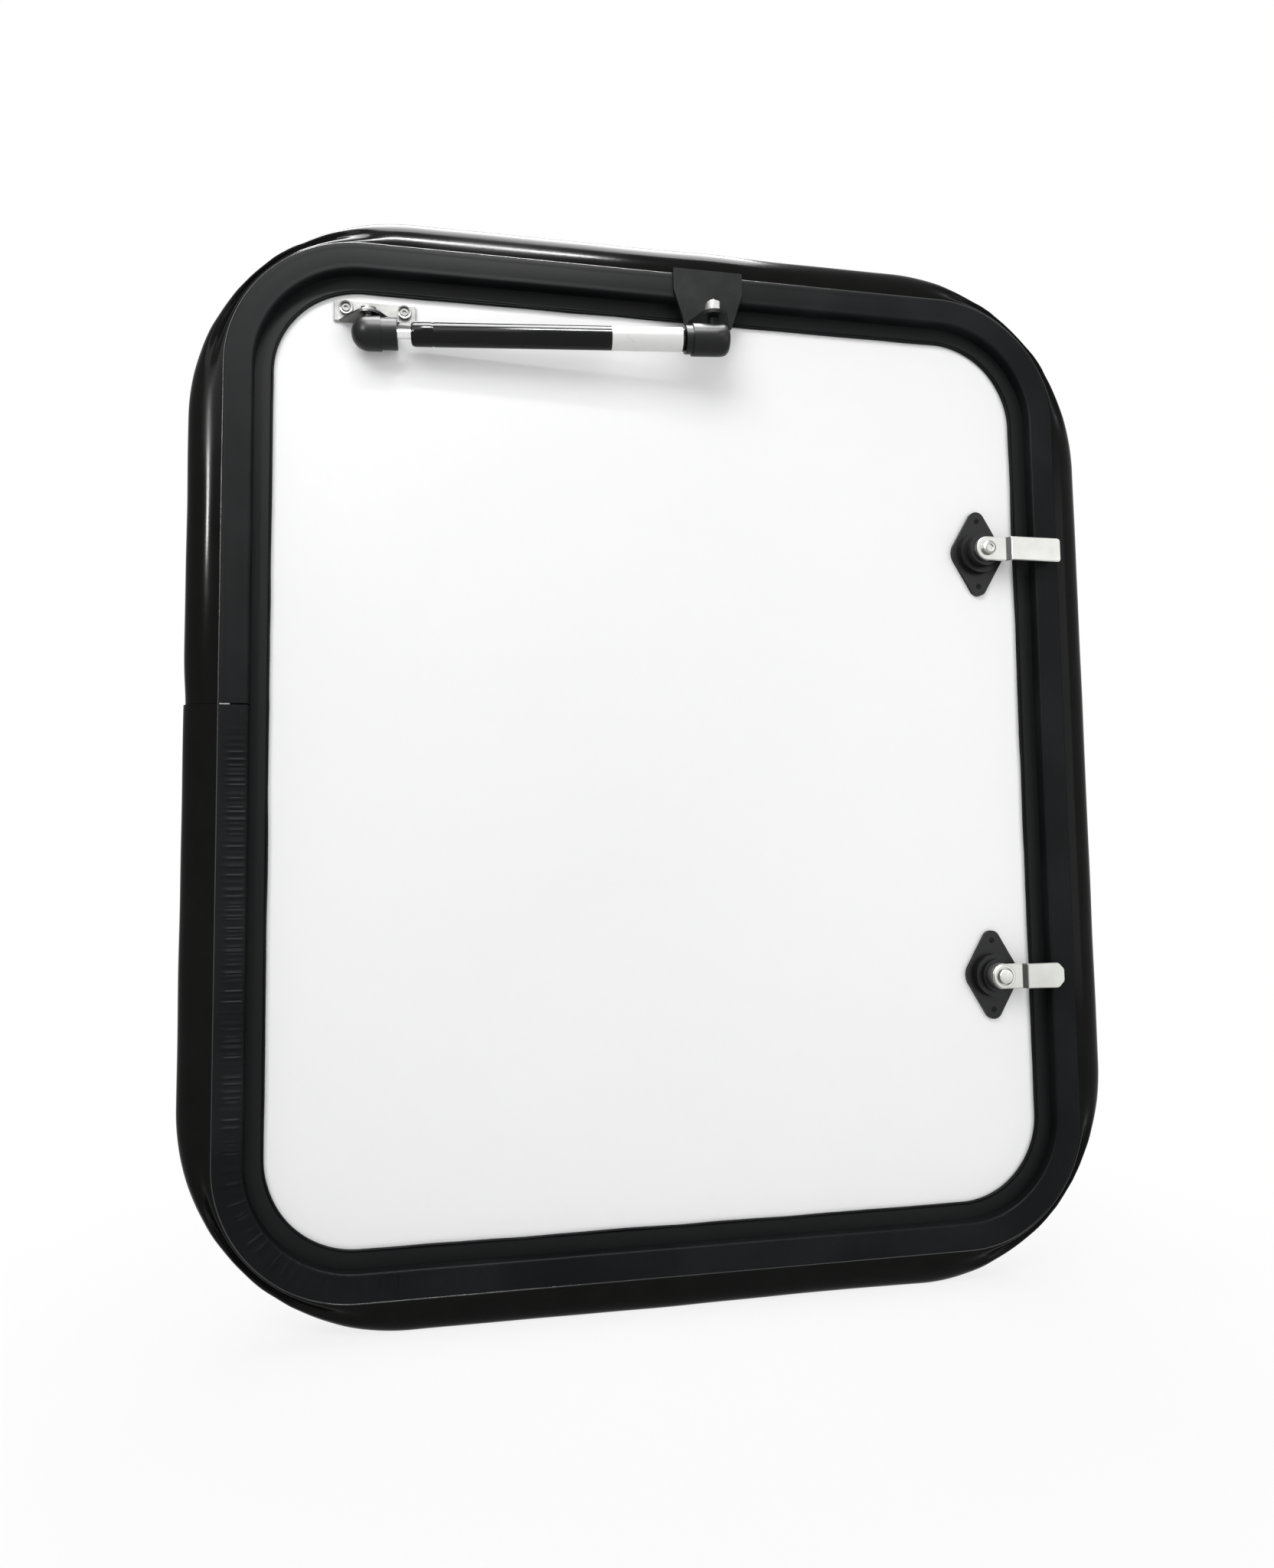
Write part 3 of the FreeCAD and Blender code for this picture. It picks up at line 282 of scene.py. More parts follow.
def rounding(across, level, radius, first, last, count=5):
    """Points of a rounded corner in a section: reach outward and level over the wall's face."""
    found = []
    for k in range(count + 1):
        turn = math.radians(first + (last - first) * k / count)
        found.append((across + radius * math.cos(turn), level + radius * math.sin(turn)))
    return found


def climb(value, low, high):
    share = min(1, max(0, (value - low) / (high - low)))
    return share * share * (3 - 2 * share)


def chain(name, spots, closed, fields):
    """A row of points joined by edges, with its fields as attributes."""
    mesh = bpy.data.meshes.new(name)
    edges = [(k, k + 1) for k in range(len(spots) - 1)]
    if closed:
        edges.append((len(spots) - 1, 0))
    mesh.from_pydata(spots, edges, [])
    for field, values in fields.items():
        vector = isinstance(values[0], Vector)
        stored = mesh.attributes.new(field, "FLOAT_VECTOR" if vector else "FLOAT", "POINT")
        for k, value in enumerate(values):
            if vector:
                stored.data[k].vector = value
            else:
                stored.data[k].value = value
    made = bpy.data.objects.new(name, mesh)
    bpy.context.scene.collection.objects.link(made)
    return made


def settle(piece):
    """Turns what a tree makes of a piece into its own plain mesh, with the faces outward."""
    seen = bpy.context.evaluated_depsgraph_get()
    mesh = bpy.data.meshes.new_from_object(piece.evaluated_get(seen), depsgraph=seen)
    piece.modifiers.clear()
    piece.data = mesh
    shape = bmesh.new()
    shape.from_mesh(mesh)
    bmesh.ops.remove_doubles(shape, verts=shape.verts, dist=0.000001)
    bmesh.ops.recalc_face_normals(shape, faces=shape.faces)
    smooth_over(shape)
    shape.to_mesh(mesh)
    shape.free()


def new_tree(name, sizes):
    """A geometry tree with its named inputs. Returns the tree, its wire and the inputs by name."""
    tree = bpy.data.node_groups.new(name, "GeometryNodeTree")
    tree.interface.new_socket(name="Geometry", in_out="OUTPUT", socket_type="NodeSocketGeometry")
    tree.interface.new_socket(name="Geometry", in_out="INPUT", socket_type="NodeSocketGeometry")
    keys = {}
    for size, kind in sizes.items():
        keys[size] = tree.interface.new_socket(name=size, in_out="INPUT", socket_type=kind).identifier
    return tree, Wire(tree), keys


def close_tree(net, geometry, material_input):
    """Realizes what was instanced, gives it its material and hands it out."""
    whole = net.node("GeometryNodeRealizeInstances", None, {"Geometry": geometry})
    dressed = net.node("GeometryNodeSetMaterial", None, {"Geometry": whole, "Material": material_input})
    net.node("NodeGroupOutput", None, {0: dressed})


sweep_tree, net, sweep_keys = new_tree("rubber_round_the_opening", {
    "Section": "NodeSocketObject",
    "Ripple height": "NodeSocketFloat",
    "Ripple pitch": "NodeSocketFloat",
    "Drift": "NodeSocketFloat",
    "Drift pitch": "NodeSocketFloat",
    "Material": "NodeSocketMaterial",
})
sweep_in = {size: net.node("NodeGroupInput", None, None, size) for size in ["Geometry", *sweep_keys]}
sweep_field = {}
for field, kind in (("at", "FLOAT_VECTOR"), ("out", "FLOAT_VECTOR"), ("along", "FLOAT"), ("reach", "FLOAT"),
                    ("slack", "FLOAT"), ("across", "FLOAT"), ("level", "FLOAT"), ("face", "FLOAT"),
                    ("dent", "FLOAT")):
    sweep_field[field] = net.node("GeometryNodeInputNamedAttribute", {"data_type": kind}, {"Name": field})
route = net.node("GeometryNodeMeshToCurve", None, {"Mesh": sweep_in["Geometry"]})
section_solid = net.node("GeometryNodeObjectInfo", None, {"Object": sweep_in["Section"]}, "Geometry")
section = net.node("GeometryNodeMeshToCurve", None, {"Mesh": section_solid})
rubber = net.node("GeometryNodeCurveToMesh", None, {
    "Curve": route, "Profile Curve": section, "Fill Caps": True})
lengthwise = {"noise_dimensions": "1D"}
ripple_place = sweep_field["along"] / sweep_in["Ripple pitch"]
ripple = net.node("ShaderNodeTexNoise", lengthwise, {"W": ripple_place, "Scale": 1.0, "Detail": 1.5})
drift_place = sweep_field["along"] / sweep_in["Drift pitch"]
drift = net.node("ShaderNodeTexNoise", lengthwise, {"W": drift_place, "Scale": 1.0, "Detail": 1.0})
fold = (ripple.between(0.42, 0.72) - 0.5) * sweep_in["Ripple height"]
fold = fold * sweep_field["slack"] * sweep_field["face"]
sway = (drift - 0.5) * sweep_in["Drift"] * sweep_field["face"]
outward = sweep_field["across"] * sweep_field["reach"] + sway
level = sweep_field["level"] + fold - sweep_field["dent"] * sweep_field["slack"]
step_out = net.node("ShaderNodeVectorMath", {"operation": "SCALE"}, {0: sweep_field["out"], "Scale": outward})
step_in = net.node("ShaderNodeCombineXYZ", None, {"Y": 0 - level})
spot = net.node("ShaderNodeVectorMath", {"operation": "ADD"}, {0: step_out, 1: step_in})
spot = net.node("ShaderNodeVectorMath", {"operation": "ADD"}, {0: spot, 1: sweep_field["at"]})
shaped = net.node("GeometryNodeSetPosition", None, {"Geometry": rubber, "Position": spot})
close_tree(net, shaped, sweep_in["Material"])


def swept(name, finish, path, section, sizes, node=None, dents=None):
    """Rubber along the path, on the frame, in the place of its plain solid where it has one."""
    spots = [p for p, out in path["route"]]
    along = [0.0]
    for first, second in zip(spots, spots[1:]):
        along.append(along[-1] + (second - first).length)
    piece = chain(name, spots, False, {
        "at": spots,
        "out": [out for p, out in path["route"]],
        "along": along,
        "reach": path["reach"],
        "slack": path["slack"],
    })
    outline = chain(name + "_section", [(u, n, 0) for u, n, face in section], True, {
        "across": [u for u, n, face in section],
        "level": [n for u, n, face in section],
        "face": [face for u, n, face in section],
        "dent": dents or [0.0] * len(section),
    })
    modifier = piece.modifiers.new("Sweep", "NODES")
    modifier.node_group = sweep_tree
    modifier[sweep_keys["Section"]] = outline
    modifier[sweep_keys["Material"]] = finish
    for size, value in sizes.items():
        modifier[sweep_keys[size]] = value
    settle(piece)
    bpy.data.objects.remove(outline)
    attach(piece, "frame")
    if node:
        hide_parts(node)
    return piece


matt_rubber, net = new_finish("matt_black_rubber")
bloom = net.grain(16.0, 5.0)
speck = net.grain(520.0, 3.0)
pull = net.grain(60.0, 4.0)
shade(net, {
    "Base Color": bloom.between(0.35, 0.75).tint(
        (0.0048, 0.0054, 0.0058, 1), (0.0096, 0.0105, 0.0111, 1)),
    "Roughness": 0.40 + 0.14 * bloom + 0.05 * speck,
    "Specular IOR Level": 0.05,
    "Normal": (0.6 * speck + 0.4 * pull).relief(0.00010, 0.45),
})
TRIM_STEP = 0.0009
TRIM_INSET = 0.0001
TRIM_CROWN = 0.0002
TRIM_SHOULDERS = 0.0030
INNER_ROUND = 0.0014
OUTER_ROUND = 0.0009
RIPPLES_NONE = -0.09
RIPPLES_FULL = -0.17
RIPPLES_BELOW = 0.005
RIPPLES_DEEP = 0.045
trim_route = lap(TRIM_STEP, JOINT_GAP)
trim_slack = []
for point, out in trim_route:
    beside = climb(point.x, RIPPLES_NONE, RIPPLES_FULL)
    below = climb(point.z, JOINT_HEIGHT - RIPPLES_BELOW, JOINT_HEIGHT - RIPPLES_DEEP)
    trim_slack.append(beside * below)
trim_foot = flat_level - TRIM_HEIGHT + TRIM_INSET
web_middle = trim_inner + TRIM_WIDTH / 2
trim_edge = TRIM_REACH - TRIM_INSET
trim_section = [(trim_inner, trim_foot, 0), (trim_inner, flat_level - 0.005, 0.2)]
for u, n in rounding(trim_inner + INNER_ROUND, flat_level - INNER_ROUND, INNER_ROUND, 180, 90, 4):
    trim_section.append((u, n, 0.7))
for k in range(1, 10):
    share = k / 10
    rise = TRIM_CROWN * math.sin(math.pi * share) - TRIM_CROWN
    across = trim_inner + INNER_ROUND + share * (TRIM_WIDTH - TRIM_SHOULDERS)
    trim_section.append((across, flat_level + rise, 1 - climb(share, 0.55, 0.9)))
for u, n in rounding(trim_edge - OUTER_ROUND, flat_level - OUTER_ROUND, OUTER_ROUND, 90, 0, 3):
    trim_section.append((u, n, 0))
trim_section += [
    (trim_edge, flat_level - TRIM_LEG, 0),
    (web_middle + WEB_HALF, flat_level - TRIM_LEG, 0),
    (web_middle + WEB_HALF, flat_level - TRIM_HEIGHT + WEB_BITE, 0),
    (web_middle - WEB_HALF, flat_level - TRIM_HEIGHT + WEB_BITE, 0),
    (web_middle - WEB_HALF, trim_foot, 0),
]
swept("edge_trim_rubber", matt_rubber,
      {"route": trim_route, "reach": [1.0] * len(trim_route), "slack": trim_slack}, trim_section,
      {"Ripple height": 0.0007, "Ripple pitch": 0.0021, "Drift": 0.0006, "Drift pitch": 0.09},
      "edge_trim")


# Bulb seal: a hollow soft bulb, one extrusion with the trim, that closes on the wall round the opening.
# It is glossier than the trim, flattens where it is bent round the corners and swells at the bracket.
BULB_CORNER = 0.138
BULB_DROP = 0.0006
BULB_GAP = 0.0002
BULB_STEP = 0.0025
BULB_REST_TOP = 0.0010
BULB_REST = 0.0004
BULB_ROUNDNESS = 0.95
BULB_FACETS = 40
SWELL_PLACE = 0.006
SWELL_RUN = 0.026
PINCH = 0.0011
PINCH_RUN = 0.018
DENT = 0.0040
DENT_PLACE = 0.45
DENT_RUN = 0.20
SEARCH_TURNS = 12
bulb_low, bulb_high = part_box("bulb_seal")
bulb_reach = trim_low.x - bulb_low.x
bulb_centre = (bulb_low + bulb_high) / 2
bulb_half = (bulb_high - bulb_low) / 2
bracket_low, bracket_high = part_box("frame_strut_bracket")
bracket_middle = (bracket_low.x + bracket_high.x) / 2


def room_left(point):
    """How far a point lies inside the bulb's outer outline."""
    across = abs(point.x - bulb_centre.x) - bulb_half.x + BULB_CORNER
    up = abs(point.z - bulb_centre.z) - bulb_half.z + BULB_CORNER
    return BULB_CORNER - math.hypot(max(across, 0), max(up, 0)) - min(max(across, up), 0)


soft_rubber, net = new_finish("soft_black_rubber")
smear = net.grain(11.0, 4.0)
bloom = net.grain(45.0, 5.0)
speck = net.grain(700.0, 2.0)
shade(net, {
    "Base Color": bloom.tint((0.0030, 0.0030, 0.0028, 1), (0.0065, 0.0065, 0.0062, 1)),
    "Roughness": 0.10 + 0.09 * smear.between(0.35, 0.7) + 0.03 * speck,
    "Specular IOR Level": 0.048,
    "Normal": (0.7 * bloom + 0.3 * speck).relief(0.00012, 0.25),
})
bulb_route = lap(BULB_STEP, BULB_GAP)
bulb_reaches = []
bulb_slack = []
for point, out in bulb_route:
    reach = 0.0
    for turn in range(SEARCH_TURNS):
        reach += room_left(point + out * (TRIM_REACH + reach))
    on_top = out.z > 0.9
    rest = BULB_REST_TOP if on_top else BULB_REST
    swell = 0
    if on_top:
        swell = rest * math.exp(-((point.x - bracket_middle - SWELL_PLACE) / SWELL_RUN) ** 2)
    pinch = 0
    if out.x < -0.9 and point.z > JOINT_HEIGHT:
        pinch = PINCH * math.exp(-((point.z - JOINT_HEIGHT) / PINCH_RUN) ** 2)
    bulb_reaches.append((reach - rest + swell - pinch) / bulb_reach)
    bulb_slack.append(1 - climb(reach / bulb_reach, 0.5, 0.98))
bulb_front = flat_level - BULB_DROP
bulb_back = -bulb_high.y
bulb_middle = (bulb_front + bulb_back) / 2
bulb_section = []
for k in range(BULB_FACETS + 1):
    turn = math.pi * k / BULB_FACETS
    out_share = max(0.0, math.sin(turn)) ** BULB_ROUNDNESS
    level_here = bulb_middle + (bulb_front - bulb_back) / 2 * math.cos(turn)
    bulb_section.append((out_share * bulb_reach, level_here, out_share))
bulb_dents = []
for u, n, face in bulb_section:
    valley = math.exp(-((u / bulb_reach - DENT_PLACE) / DENT_RUN) ** 2)
    bulb_dents.append(DENT * valley if n > bulb_middle else 0.0)
bulb_root = [(point + out * TRIM_REACH, out) for point, out in bulb_route]
swept("bulb_seal_rubber", soft_rubber,
      {"route": bulb_root, "reach": bulb_reaches, "slack": bulb_slack}, bulb_section,
      {"Ripple height": 0.0012, "Ripple pitch": 0.030, "Drift": 0.0012, "Drift pitch": 0.11},
      "bulb_seal", bulb_dents)


# Parting bead: the fine glossy line left by the die where the stiff trim and the soft bulb join.
# It stands a little out of the joint, catches the light at the top and the left, and sinks in on the right.
BEAD = 0.00045
BEAD_DEPTH = 0.00055
BEAD_SINK = 0.035
bead_section = []
for u, n in rounding(TRIM_REACH, flat_level - BEAD_DEPTH, BEAD, 0, 330, 11):
    bead_section.append((u, n, 0))
wet_rubber, net = new_finish("glossy_black_bead")
die_line = net.grain(90.0, 3.0)
shade(net, {
    "Base Color": die_line.tint((0.004, 0.004, 0.004, 1), (0.007, 0.007, 0.007, 1)),
    "Roughness": 0.20 + 0.12 * die_line,
    "Specular IOR Level": 0.5,
})
bead_reaches = [1 - BEAD_SINK * climb(out.x, 0.3, 0.9) for point, out in bulb_route]
swept("parting_bead", wet_rubber,
      {"route": bulb_route, "reach": bead_reaches, "slack": [0.0] * len(bulb_route)}, bead_section,
      {"Ripple height": 0.0, "Ripple pitch": 0.01, "Drift": 0.0, "Drift pitch": 0.1})


# Joint glint: a white dab that fills the slit where the trim's two ends meet, a painted glint in the slit.
# It sits just under the trim's face, on the outer half of the slit.
DAB_START = 0.0006
DAB_END = 0.0066
DAB_FACE = 0.0007
DAB_DEPTH = 0.0060
DAB_ROUND = 0.0002
slit_left = sight_left - TRIM_REACH
dab_low = Vector((slit_left + DAB_START, -(flat_level - DAB_FACE), JOINT_HEIGHT - JOINT_GAP / 2))
dab_high = Vector((slit_left + DAB_END, -(flat_level - DAB_DEPTH), JOINT_HEIGHT + JOINT_GAP / 2))
joint_glint_paint, net = new_finish("painted_joint_glint")
smear = net.grain(900.0, 4.0)
shade(net, {
    "Base Color": smear.tint((0.70, 0.70, 0.69, 1), (0.84, 0.84, 0.83, 1)),
    "Roughness": 0.5 + 0.2 * smear,
    "Normal": smear.relief(0.0001, 0.6),
})


def block(middle, size, width, segments):
    """A box with its edges rounded over."""
    shape = bmesh.new()
    bmesh.ops.create_cube(shape, size=1.0)
    bmesh.ops.scale(shape, vec=size, verts=shape.verts)
    bmesh.ops.translate(shape, vec=middle, verts=shape.verts)
    bmesh.ops.recalc_face_normals(shape, faces=shape.faces)
    bmesh.ops.bevel(shape, geom=shape.edges[:], offset=width, segments=segments, affect="EDGES")
    return shape


dab = block((dab_low + dab_high) / 2, dab_high - dab_low, DAB_ROUND, 2)
smooth_over(dab)
dab_piece = new_piece("joint_filler", dab, joint_glint_paint)
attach(dab_piece, "frame")


# Stop seal: a flat strip of soft rubber stuck behind the stop, where the shut leaf presses on it.
# Its lip curls up round the stop's edge and shows as a thin dark line along the panel.
seal_low, seal_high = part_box("stop_seal")
SEAL_LIP = 0.0015
SEAL_RISE = 0.0026
SEAL_GAP = 0.00002
SEAL_STEP = 0.0025
SEAL_INSET = 0.00005
HEEL_ROUND = 0.0007
LIP_ROUND = 0.0006
seal_back = -seal_high.y + SEAL_INSET
seal_front = -seal_low.y - SEAL_INSET
seal_outer = sight_left - seal_low.x
lip_tip = seal_back + SEAL_RISE
seal_section = [(seal_outer, seal_back, 0), (HEEL_ROUND, seal_back, 0.4)]
for u, n in rounding(0.0008, seal_back + HEEL_ROUND, HEEL_ROUND, 270, 180, 4):
    seal_section.append((u, n, 1))
for u, n in rounding(0.0007, lip_tip - LIP_ROUND, LIP_ROUND, 180, 20, 5):
    seal_section.append((u, n, 1))
seal_section += [(SEAL_LIP - 0.0001, seal_front, 0), (seal_outer, seal_front, 0)]
seal_route = lap(SEAL_STEP, SEAL_GAP)
seal_ones = [1.0] * len(seal_route)
seal_noughts = [0.0] * len(seal_route)
swept("stop_seal_rubber", matt_rubber,
      {"route": seal_route, "reach": seal_ones, "slack": seal_noughts}, seal_section,
      {"Ripple height": 0.0, "Ripple pitch": 0.01, "Drift": 0.0010, "Drift pitch": 0.06}, "stop_seal")


# Leaf: two glass-fibre skins on a foam core in a thin rim, white gelcoat inside and out.
# The gelcoat is glossy with a faint orange peel, and a little greyer in broad clouds.
gelcoat, net = new_finish("white_gelcoat")
cloud = net.grain(5.0, 4.0)
peel = net.grain(260.0, 2.0)
dust = net.grain(900.0, 4.0)
shade(net, {
    "Base Color": cloud.tint((0.84, 0.84, 0.845, 1), (0.88, 0.88, 0.88, 1)),
    "Roughness": 0.34 + 0.10 * cloud + 0.04 * dust,
    "Specular IOR Level": 0.35,
    "Normal": peel.relief(0.00006, 0.35),
})
foam, net = new_finish("pale_rigid_foam")
cells = net.grain(1500.0, 2.0)
shade(net, {
    "Base Color": cells.tint((0.72, 0.66, 0.50, 1), (0.82, 0.78, 0.64, 1)),
    "Roughness": 0.9,
    "Normal": cells.relief(0.0002, 0.6),
})
softened("door_inner_skin", gelcoat, 0.0002)
softened("door_outer_skin", gelcoat, 0.0002)
softened("door_core", foam, 0.0002)
softened("door_rim", powder_coat, 0.0005)


# Hinge: a piano hinge of two aluminium leaves on one steel pin, outside along the left edge.
# Each leaf is screwed down along its length, into the flange on one side and the door on the other.
brushed_aluminium, net = new_finish("brushed_hinge_aluminium")
streak = net.grain(1.0, 3.0, (2600.0, 2600.0, 30.0))
haze = net.grain(22.0, 3.0)
shade(net, {
    "Base Color": haze.tint((0.60, 0.61, 0.62, 1), (0.72, 0.73, 0.74, 1)),
    "Metallic": 1.0,
    "Roughness": 0.30 + 0.14 * streak + 0.06 * haze,
    "Normal": streak.relief(0.00003, 0.4),
})
bright_zinc, net = new_finish("bright_zinc_plate")
passivation = net.grain(120.0, 5.0)
wipe = net.grain(700.0, 3.0)
shade(net, {
    "Base Color": passivation.tint((0.19, 0.19, 0.184, 1), (0.27, 0.27, 0.262, 1)),
    "Metallic": 1.0,
    "Roughness": 0.18 + 0.09 * passivation + 0.04 * wipe,
    "Normal": wipe.relief(0.00003, 0.4),
})
softened("hinge_frame_leaf", brushed_aluminium, 0.0003)
softened("hinge_door_leaf", brushed_aluminium, 0.0003)
softened("hinge_pin", bright_zinc, 0.0004)


def ring_shape(rings, sides=24):
    """A closed round shape from rings of (level, radius, corners): six corners make a hexagon."""
    shape = bmesh.new()
    rows = []
    for level, radius, corners in rings:
        row = []
        for k in range(sides):
            turn = math.tau * k / sides
            size = radius
            if corners:
                flat = math.pi / corners
                size = radius * math.cos(flat) / math.cos((turn % (2 * flat)) - flat)
            row.append(shape.verts.new((size * math.cos(turn), size * math.sin(turn), level)))
        rows.append(row)
    for first, second in zip(rows, rows[1:]):
        for k in range(sides):
            shape.faces.new((first[k], first[k - sides + 1], second[k - sides + 1], second[k]))
    shape.faces.new(rows[0])
    shape.faces.new(rows[-1])
    bmesh.ops.recalc_face_normals(shape, faces=shape.faces)
    return shape


def socket_head(radius, height, key):
    """A button head with a hexagonal socket, its seat at nought."""
    return ring_shape([
        (0, radius * 0.96, 0), (height * 0.25, radius, 0), (height * 0.7, radius * 0.93, 0),
        (height * 0.95, radius * 0.74, 0), (height, radius * 0.62, 0), (height, key * 1.06, 6),
        (height * 0.92, key, 6), (height * 0.35, key, 6),
    ])


plant_tree, net, plant_keys = new_tree("fasteners_on_points", {
    "Fastener": "NodeSocketObject",
    "Material": "NodeSocketMaterial",
})
plant_in = {size: net.node("NodeGroupInput", None, None, size) for size in ["Geometry", *plant_keys]}
facing = net.node("GeometryNodeInputNamedAttribute", {"data_type": "FLOAT_VECTOR"}, {"Name": "facing"})
turned_to = net.node("FunctionNodeAlignRotationToVector", {"axis": "Z"}, {"Vector": facing})
fastener = net.node("GeometryNodeObjectInfo", None, {"Object": plant_in["Fastener"]}, "Geometry")
planted_all = net.node("GeometryNodeInstanceOnPoints", None, {
    "Points": plant_in["Geometry"], "Instance": fastener, "Rotation": turned_to})
close_tree(net, planted_all, plant_in["Material"])


def planted(name, finish, shape, spots, facing, body):
    """One fastener on each spot, all facing one way, as one mesh on a body."""
    model = new_piece(name + "_model", shape, finish)
    piece = chain(name, spots, False, {"facing": [Vector(facing)] * len(spots)})
    modifier = piece.modifiers.new("Fasteners", "NODES")
    modifier.node_group = plant_tree
    modifier[plant_keys["Fastener"]] = model
    modifier[plant_keys["Material"]] = finish
    settle(piece)
    bpy.data.objects.remove(model)
    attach(piece, body)
    return piece


HINGE_SCREWS = 6
HINGE_SCREW_MARGIN = 0.022
HINGE_KNUCKLE = 0.0088
HINGE_LEAF = 0.0015
for leaf, body in (("hinge_frame_leaf", "frame"), ("hinge_door_leaf", "door")):
    low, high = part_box(leaf)
    knuckle = -HINGE_KNUCKLE if body == "frame" else HINGE_KNUCKLE
    middle = (low.x + high.x + knuckle) / 2
    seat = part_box("jamb_frame")[1].y + HINGE_LEAF
    first = low.z + HINGE_SCREW_MARGIN
    pitch = (high.z - low.z - 2 * HINGE_SCREW_MARGIN) / (HINGE_SCREWS - 1)
    spots = [Vector((middle, seat, first + k * pitch)) for k in range(HINGE_SCREWS)]
    planted(leaf + "_screws", bright_zinc, socket_head(0.0036, 0.0019, 0.0015), spots,
            (0, 1, 0), body)


# Flange screws: button heads through the outer flange into the wall, in the flange's own holes.
# They are blackened, so they hardly stand out from the coat.
SCREW_REACH = 0.043
SCREW_ACROSS = 0.150
SCREW_UP = 0.180
flange_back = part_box("jamb_frame")[1].y
middle_height = (sight_foot + sight_head) / 2
flange_spots = []
for side in (sight_left - SCREW_REACH, sight_right + SCREW_REACH):
    for rise in (-SCREW_UP, 0, SCREW_UP):
        flange_spots.append(Vector((side, flange_back, middle_height + rise)))
for rail in (sight_foot - SCREW_REACH, sight_head + SCREW_REACH):
    for run in (-SCREW_ACROSS, 0, SCREW_ACROSS):
        flange_spots.append(Vector((run, flange_back, rail)))
planted("flange_screws", powder_coat, socket_head(0.0038, 0.0016, 0.0015), flange_spots,
        (0, 1, 0), "frame")


# Frame bracket: a folded steel plate hooked over the trim, with a tab that carries the strut's stud.
# It is painted black, a little scuffed, and the stud's nut is bright.
painted_steel, net = new_finish("black_painted_steel")
scuff = net.grain(70.0, 6.0)
peel = net.grain(800.0, 2.0)
shade(net, {
    "Base Color": scuff.between(0.35, 0.8).tint(
        (0.008, 0.0088, 0.009, 1), (0.014, 0.0148, 0.015, 1)),
    "Roughness": 0.36 + 0.14 * scuff,
    "Specular IOR Level": 0.07,
    "Normal": peel.relief(0.00005, 0.5),
})
softened("frame_strut_bracket", painted_steel, 0.0007, 3)


def at_ends(start, end, shape):
    """Moves a shape that stands on nought so that it stands on start and points at end."""
    turn = Vector((0, 0, 1)).rotation_difference(end - start).to_matrix().to_4x4()
    bmesh.ops.transform(shape, matrix=Matrix.Translation(start) @ turn, verts=shape.verts)
    return shape


def turned(name, finish, body, start, end, stations, sides=48, nodes=()):
    """A round piece on the line from start to end: stations of (distance, radius)."""
    shape = at_ends(start, end, ring_shape([(d, r, 0) for d, r in stations], sides))
    smooth_over(shape)
    piece = new_piece(name, shape, finish)
    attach(piece, body)
    if nodes:
        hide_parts(*nodes)
    return piece


nut_low, nut_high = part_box("frame_stud_nut")
nut_foot = Vector(((nut_low.x + nut_high.x) / 2, (nut_low.y + nut_high.y) / 2, nut_low.z))
nut_rise = nut_high.z - nut_low.z
nut_half = (nut_high.x - nut_low.x) / 2
NUT_RINGS = [
    (0.00, 0.99, 0), (0.08, 1.00, 0), (0.12, 0.99, 6), (0.74, 0.99, 6),
    (0.84, 0.88, 0), (0.86, 0.58, 0), (0.97, 0.55, 0), (1.00, 0.42, 0),
]
nut_shape = ring_shape([(nut_rise * up, nut_half * wide, corners) for up, wide, corners in NUT_RINGS], 36)
at_ends(nut_foot, nut_foot + Vector((0, 0, 1)), nut_shape)
smooth_over(nut_shape)
nickel, net = new_finish("bright_nickel_plate")
buff = net.grain(500.0, 3.0)
shade(net, {
    "Base Color": buff.tint((0.52, 0.52, 0.505, 1), (0.66, 0.66, 0.645, 1)),
    "Metallic": 1.0,
    "Roughness": 0.16 + 0.10 * buff,
})
nut = new_piece("frame_stud_nut_bright", nut_shape, nickel)
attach(nut, "frame")
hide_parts("frame_stud_nut")


# Door bracket: a zinc plated angle held to the panel by two socket screws, its tab bent out over the ball.
# The plate is stamped, with soft edges and a cloudy bright passivation.
plate_low, plate_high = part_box("door_strut_bracket")
PLATE_FACE = 0.0020
panel_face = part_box("door_inner_skin")[0].y
BRACKET_SCREW_SPAN = 0.0365
BRACKET_SCREW_DROP = 0.0050
softened("door_strut_bracket", bright_zinc, 0.0007, 3)
plate_middle = (plate_low.x + plate_high.x) / 2
bracket_spots = []
for side in (-0.5, 0.5):
    across = plate_middle + side * BRACKET_SCREW_SPAN
    up = plate_high.z - BRACKET_SCREW_DROP
    bracket_spots.append(Vector((across, panel_face - PLATE_FACE, up)))
planted("door_bracket_screws", bright_zinc, ring_shape([
    (0, 0.0045, 0), (0.0012, 0.0046, 0), (0.0018, 0.0044, 0),
    (0.0020, 0.0040, 0), (0.0019, 0.0035, 0), (0.0006, 0.0034, 0),
]), bracket_spots, (0, -1, 0), "door")
# A dark grey disc round a hex socket fills each screw's recess: painted shade in the recess.
screw_recess_shade, net = new_finish("painted_screw_recess_shade")
recess_shade_mottle = net.grain(700.0, 4.0)
shade(net, {
    "Base Color": recess_shade_mottle.tint((0.06, 0.06, 0.06, 1), (0.15, 0.15, 0.145, 1)),
    "Metallic": 1.0,
    "Roughness": 0.30 + 0.16 * recess_shade_mottle,
})
planted("door_bracket_screw_cores", screw_recess_shade, ring_shape([
    (0, 0.0034, 0), (0.0008, 0.0034, 0), (0.0008, 0.0025, 0),
    (0.0015, 0.0023, 0), (0.0015, 0.0014, 6), (0.0008, 0.0013, 6),
]), bracket_spots, (0, -1, 0), "door")


# Gas strut: a chromed rod in a black tube, with moulded ball sockets snapped on the studs at both ends.
# The tube is painted and rolled in at its ends, with a bare white label band beside the frame's socket.
BALL = 0.0050


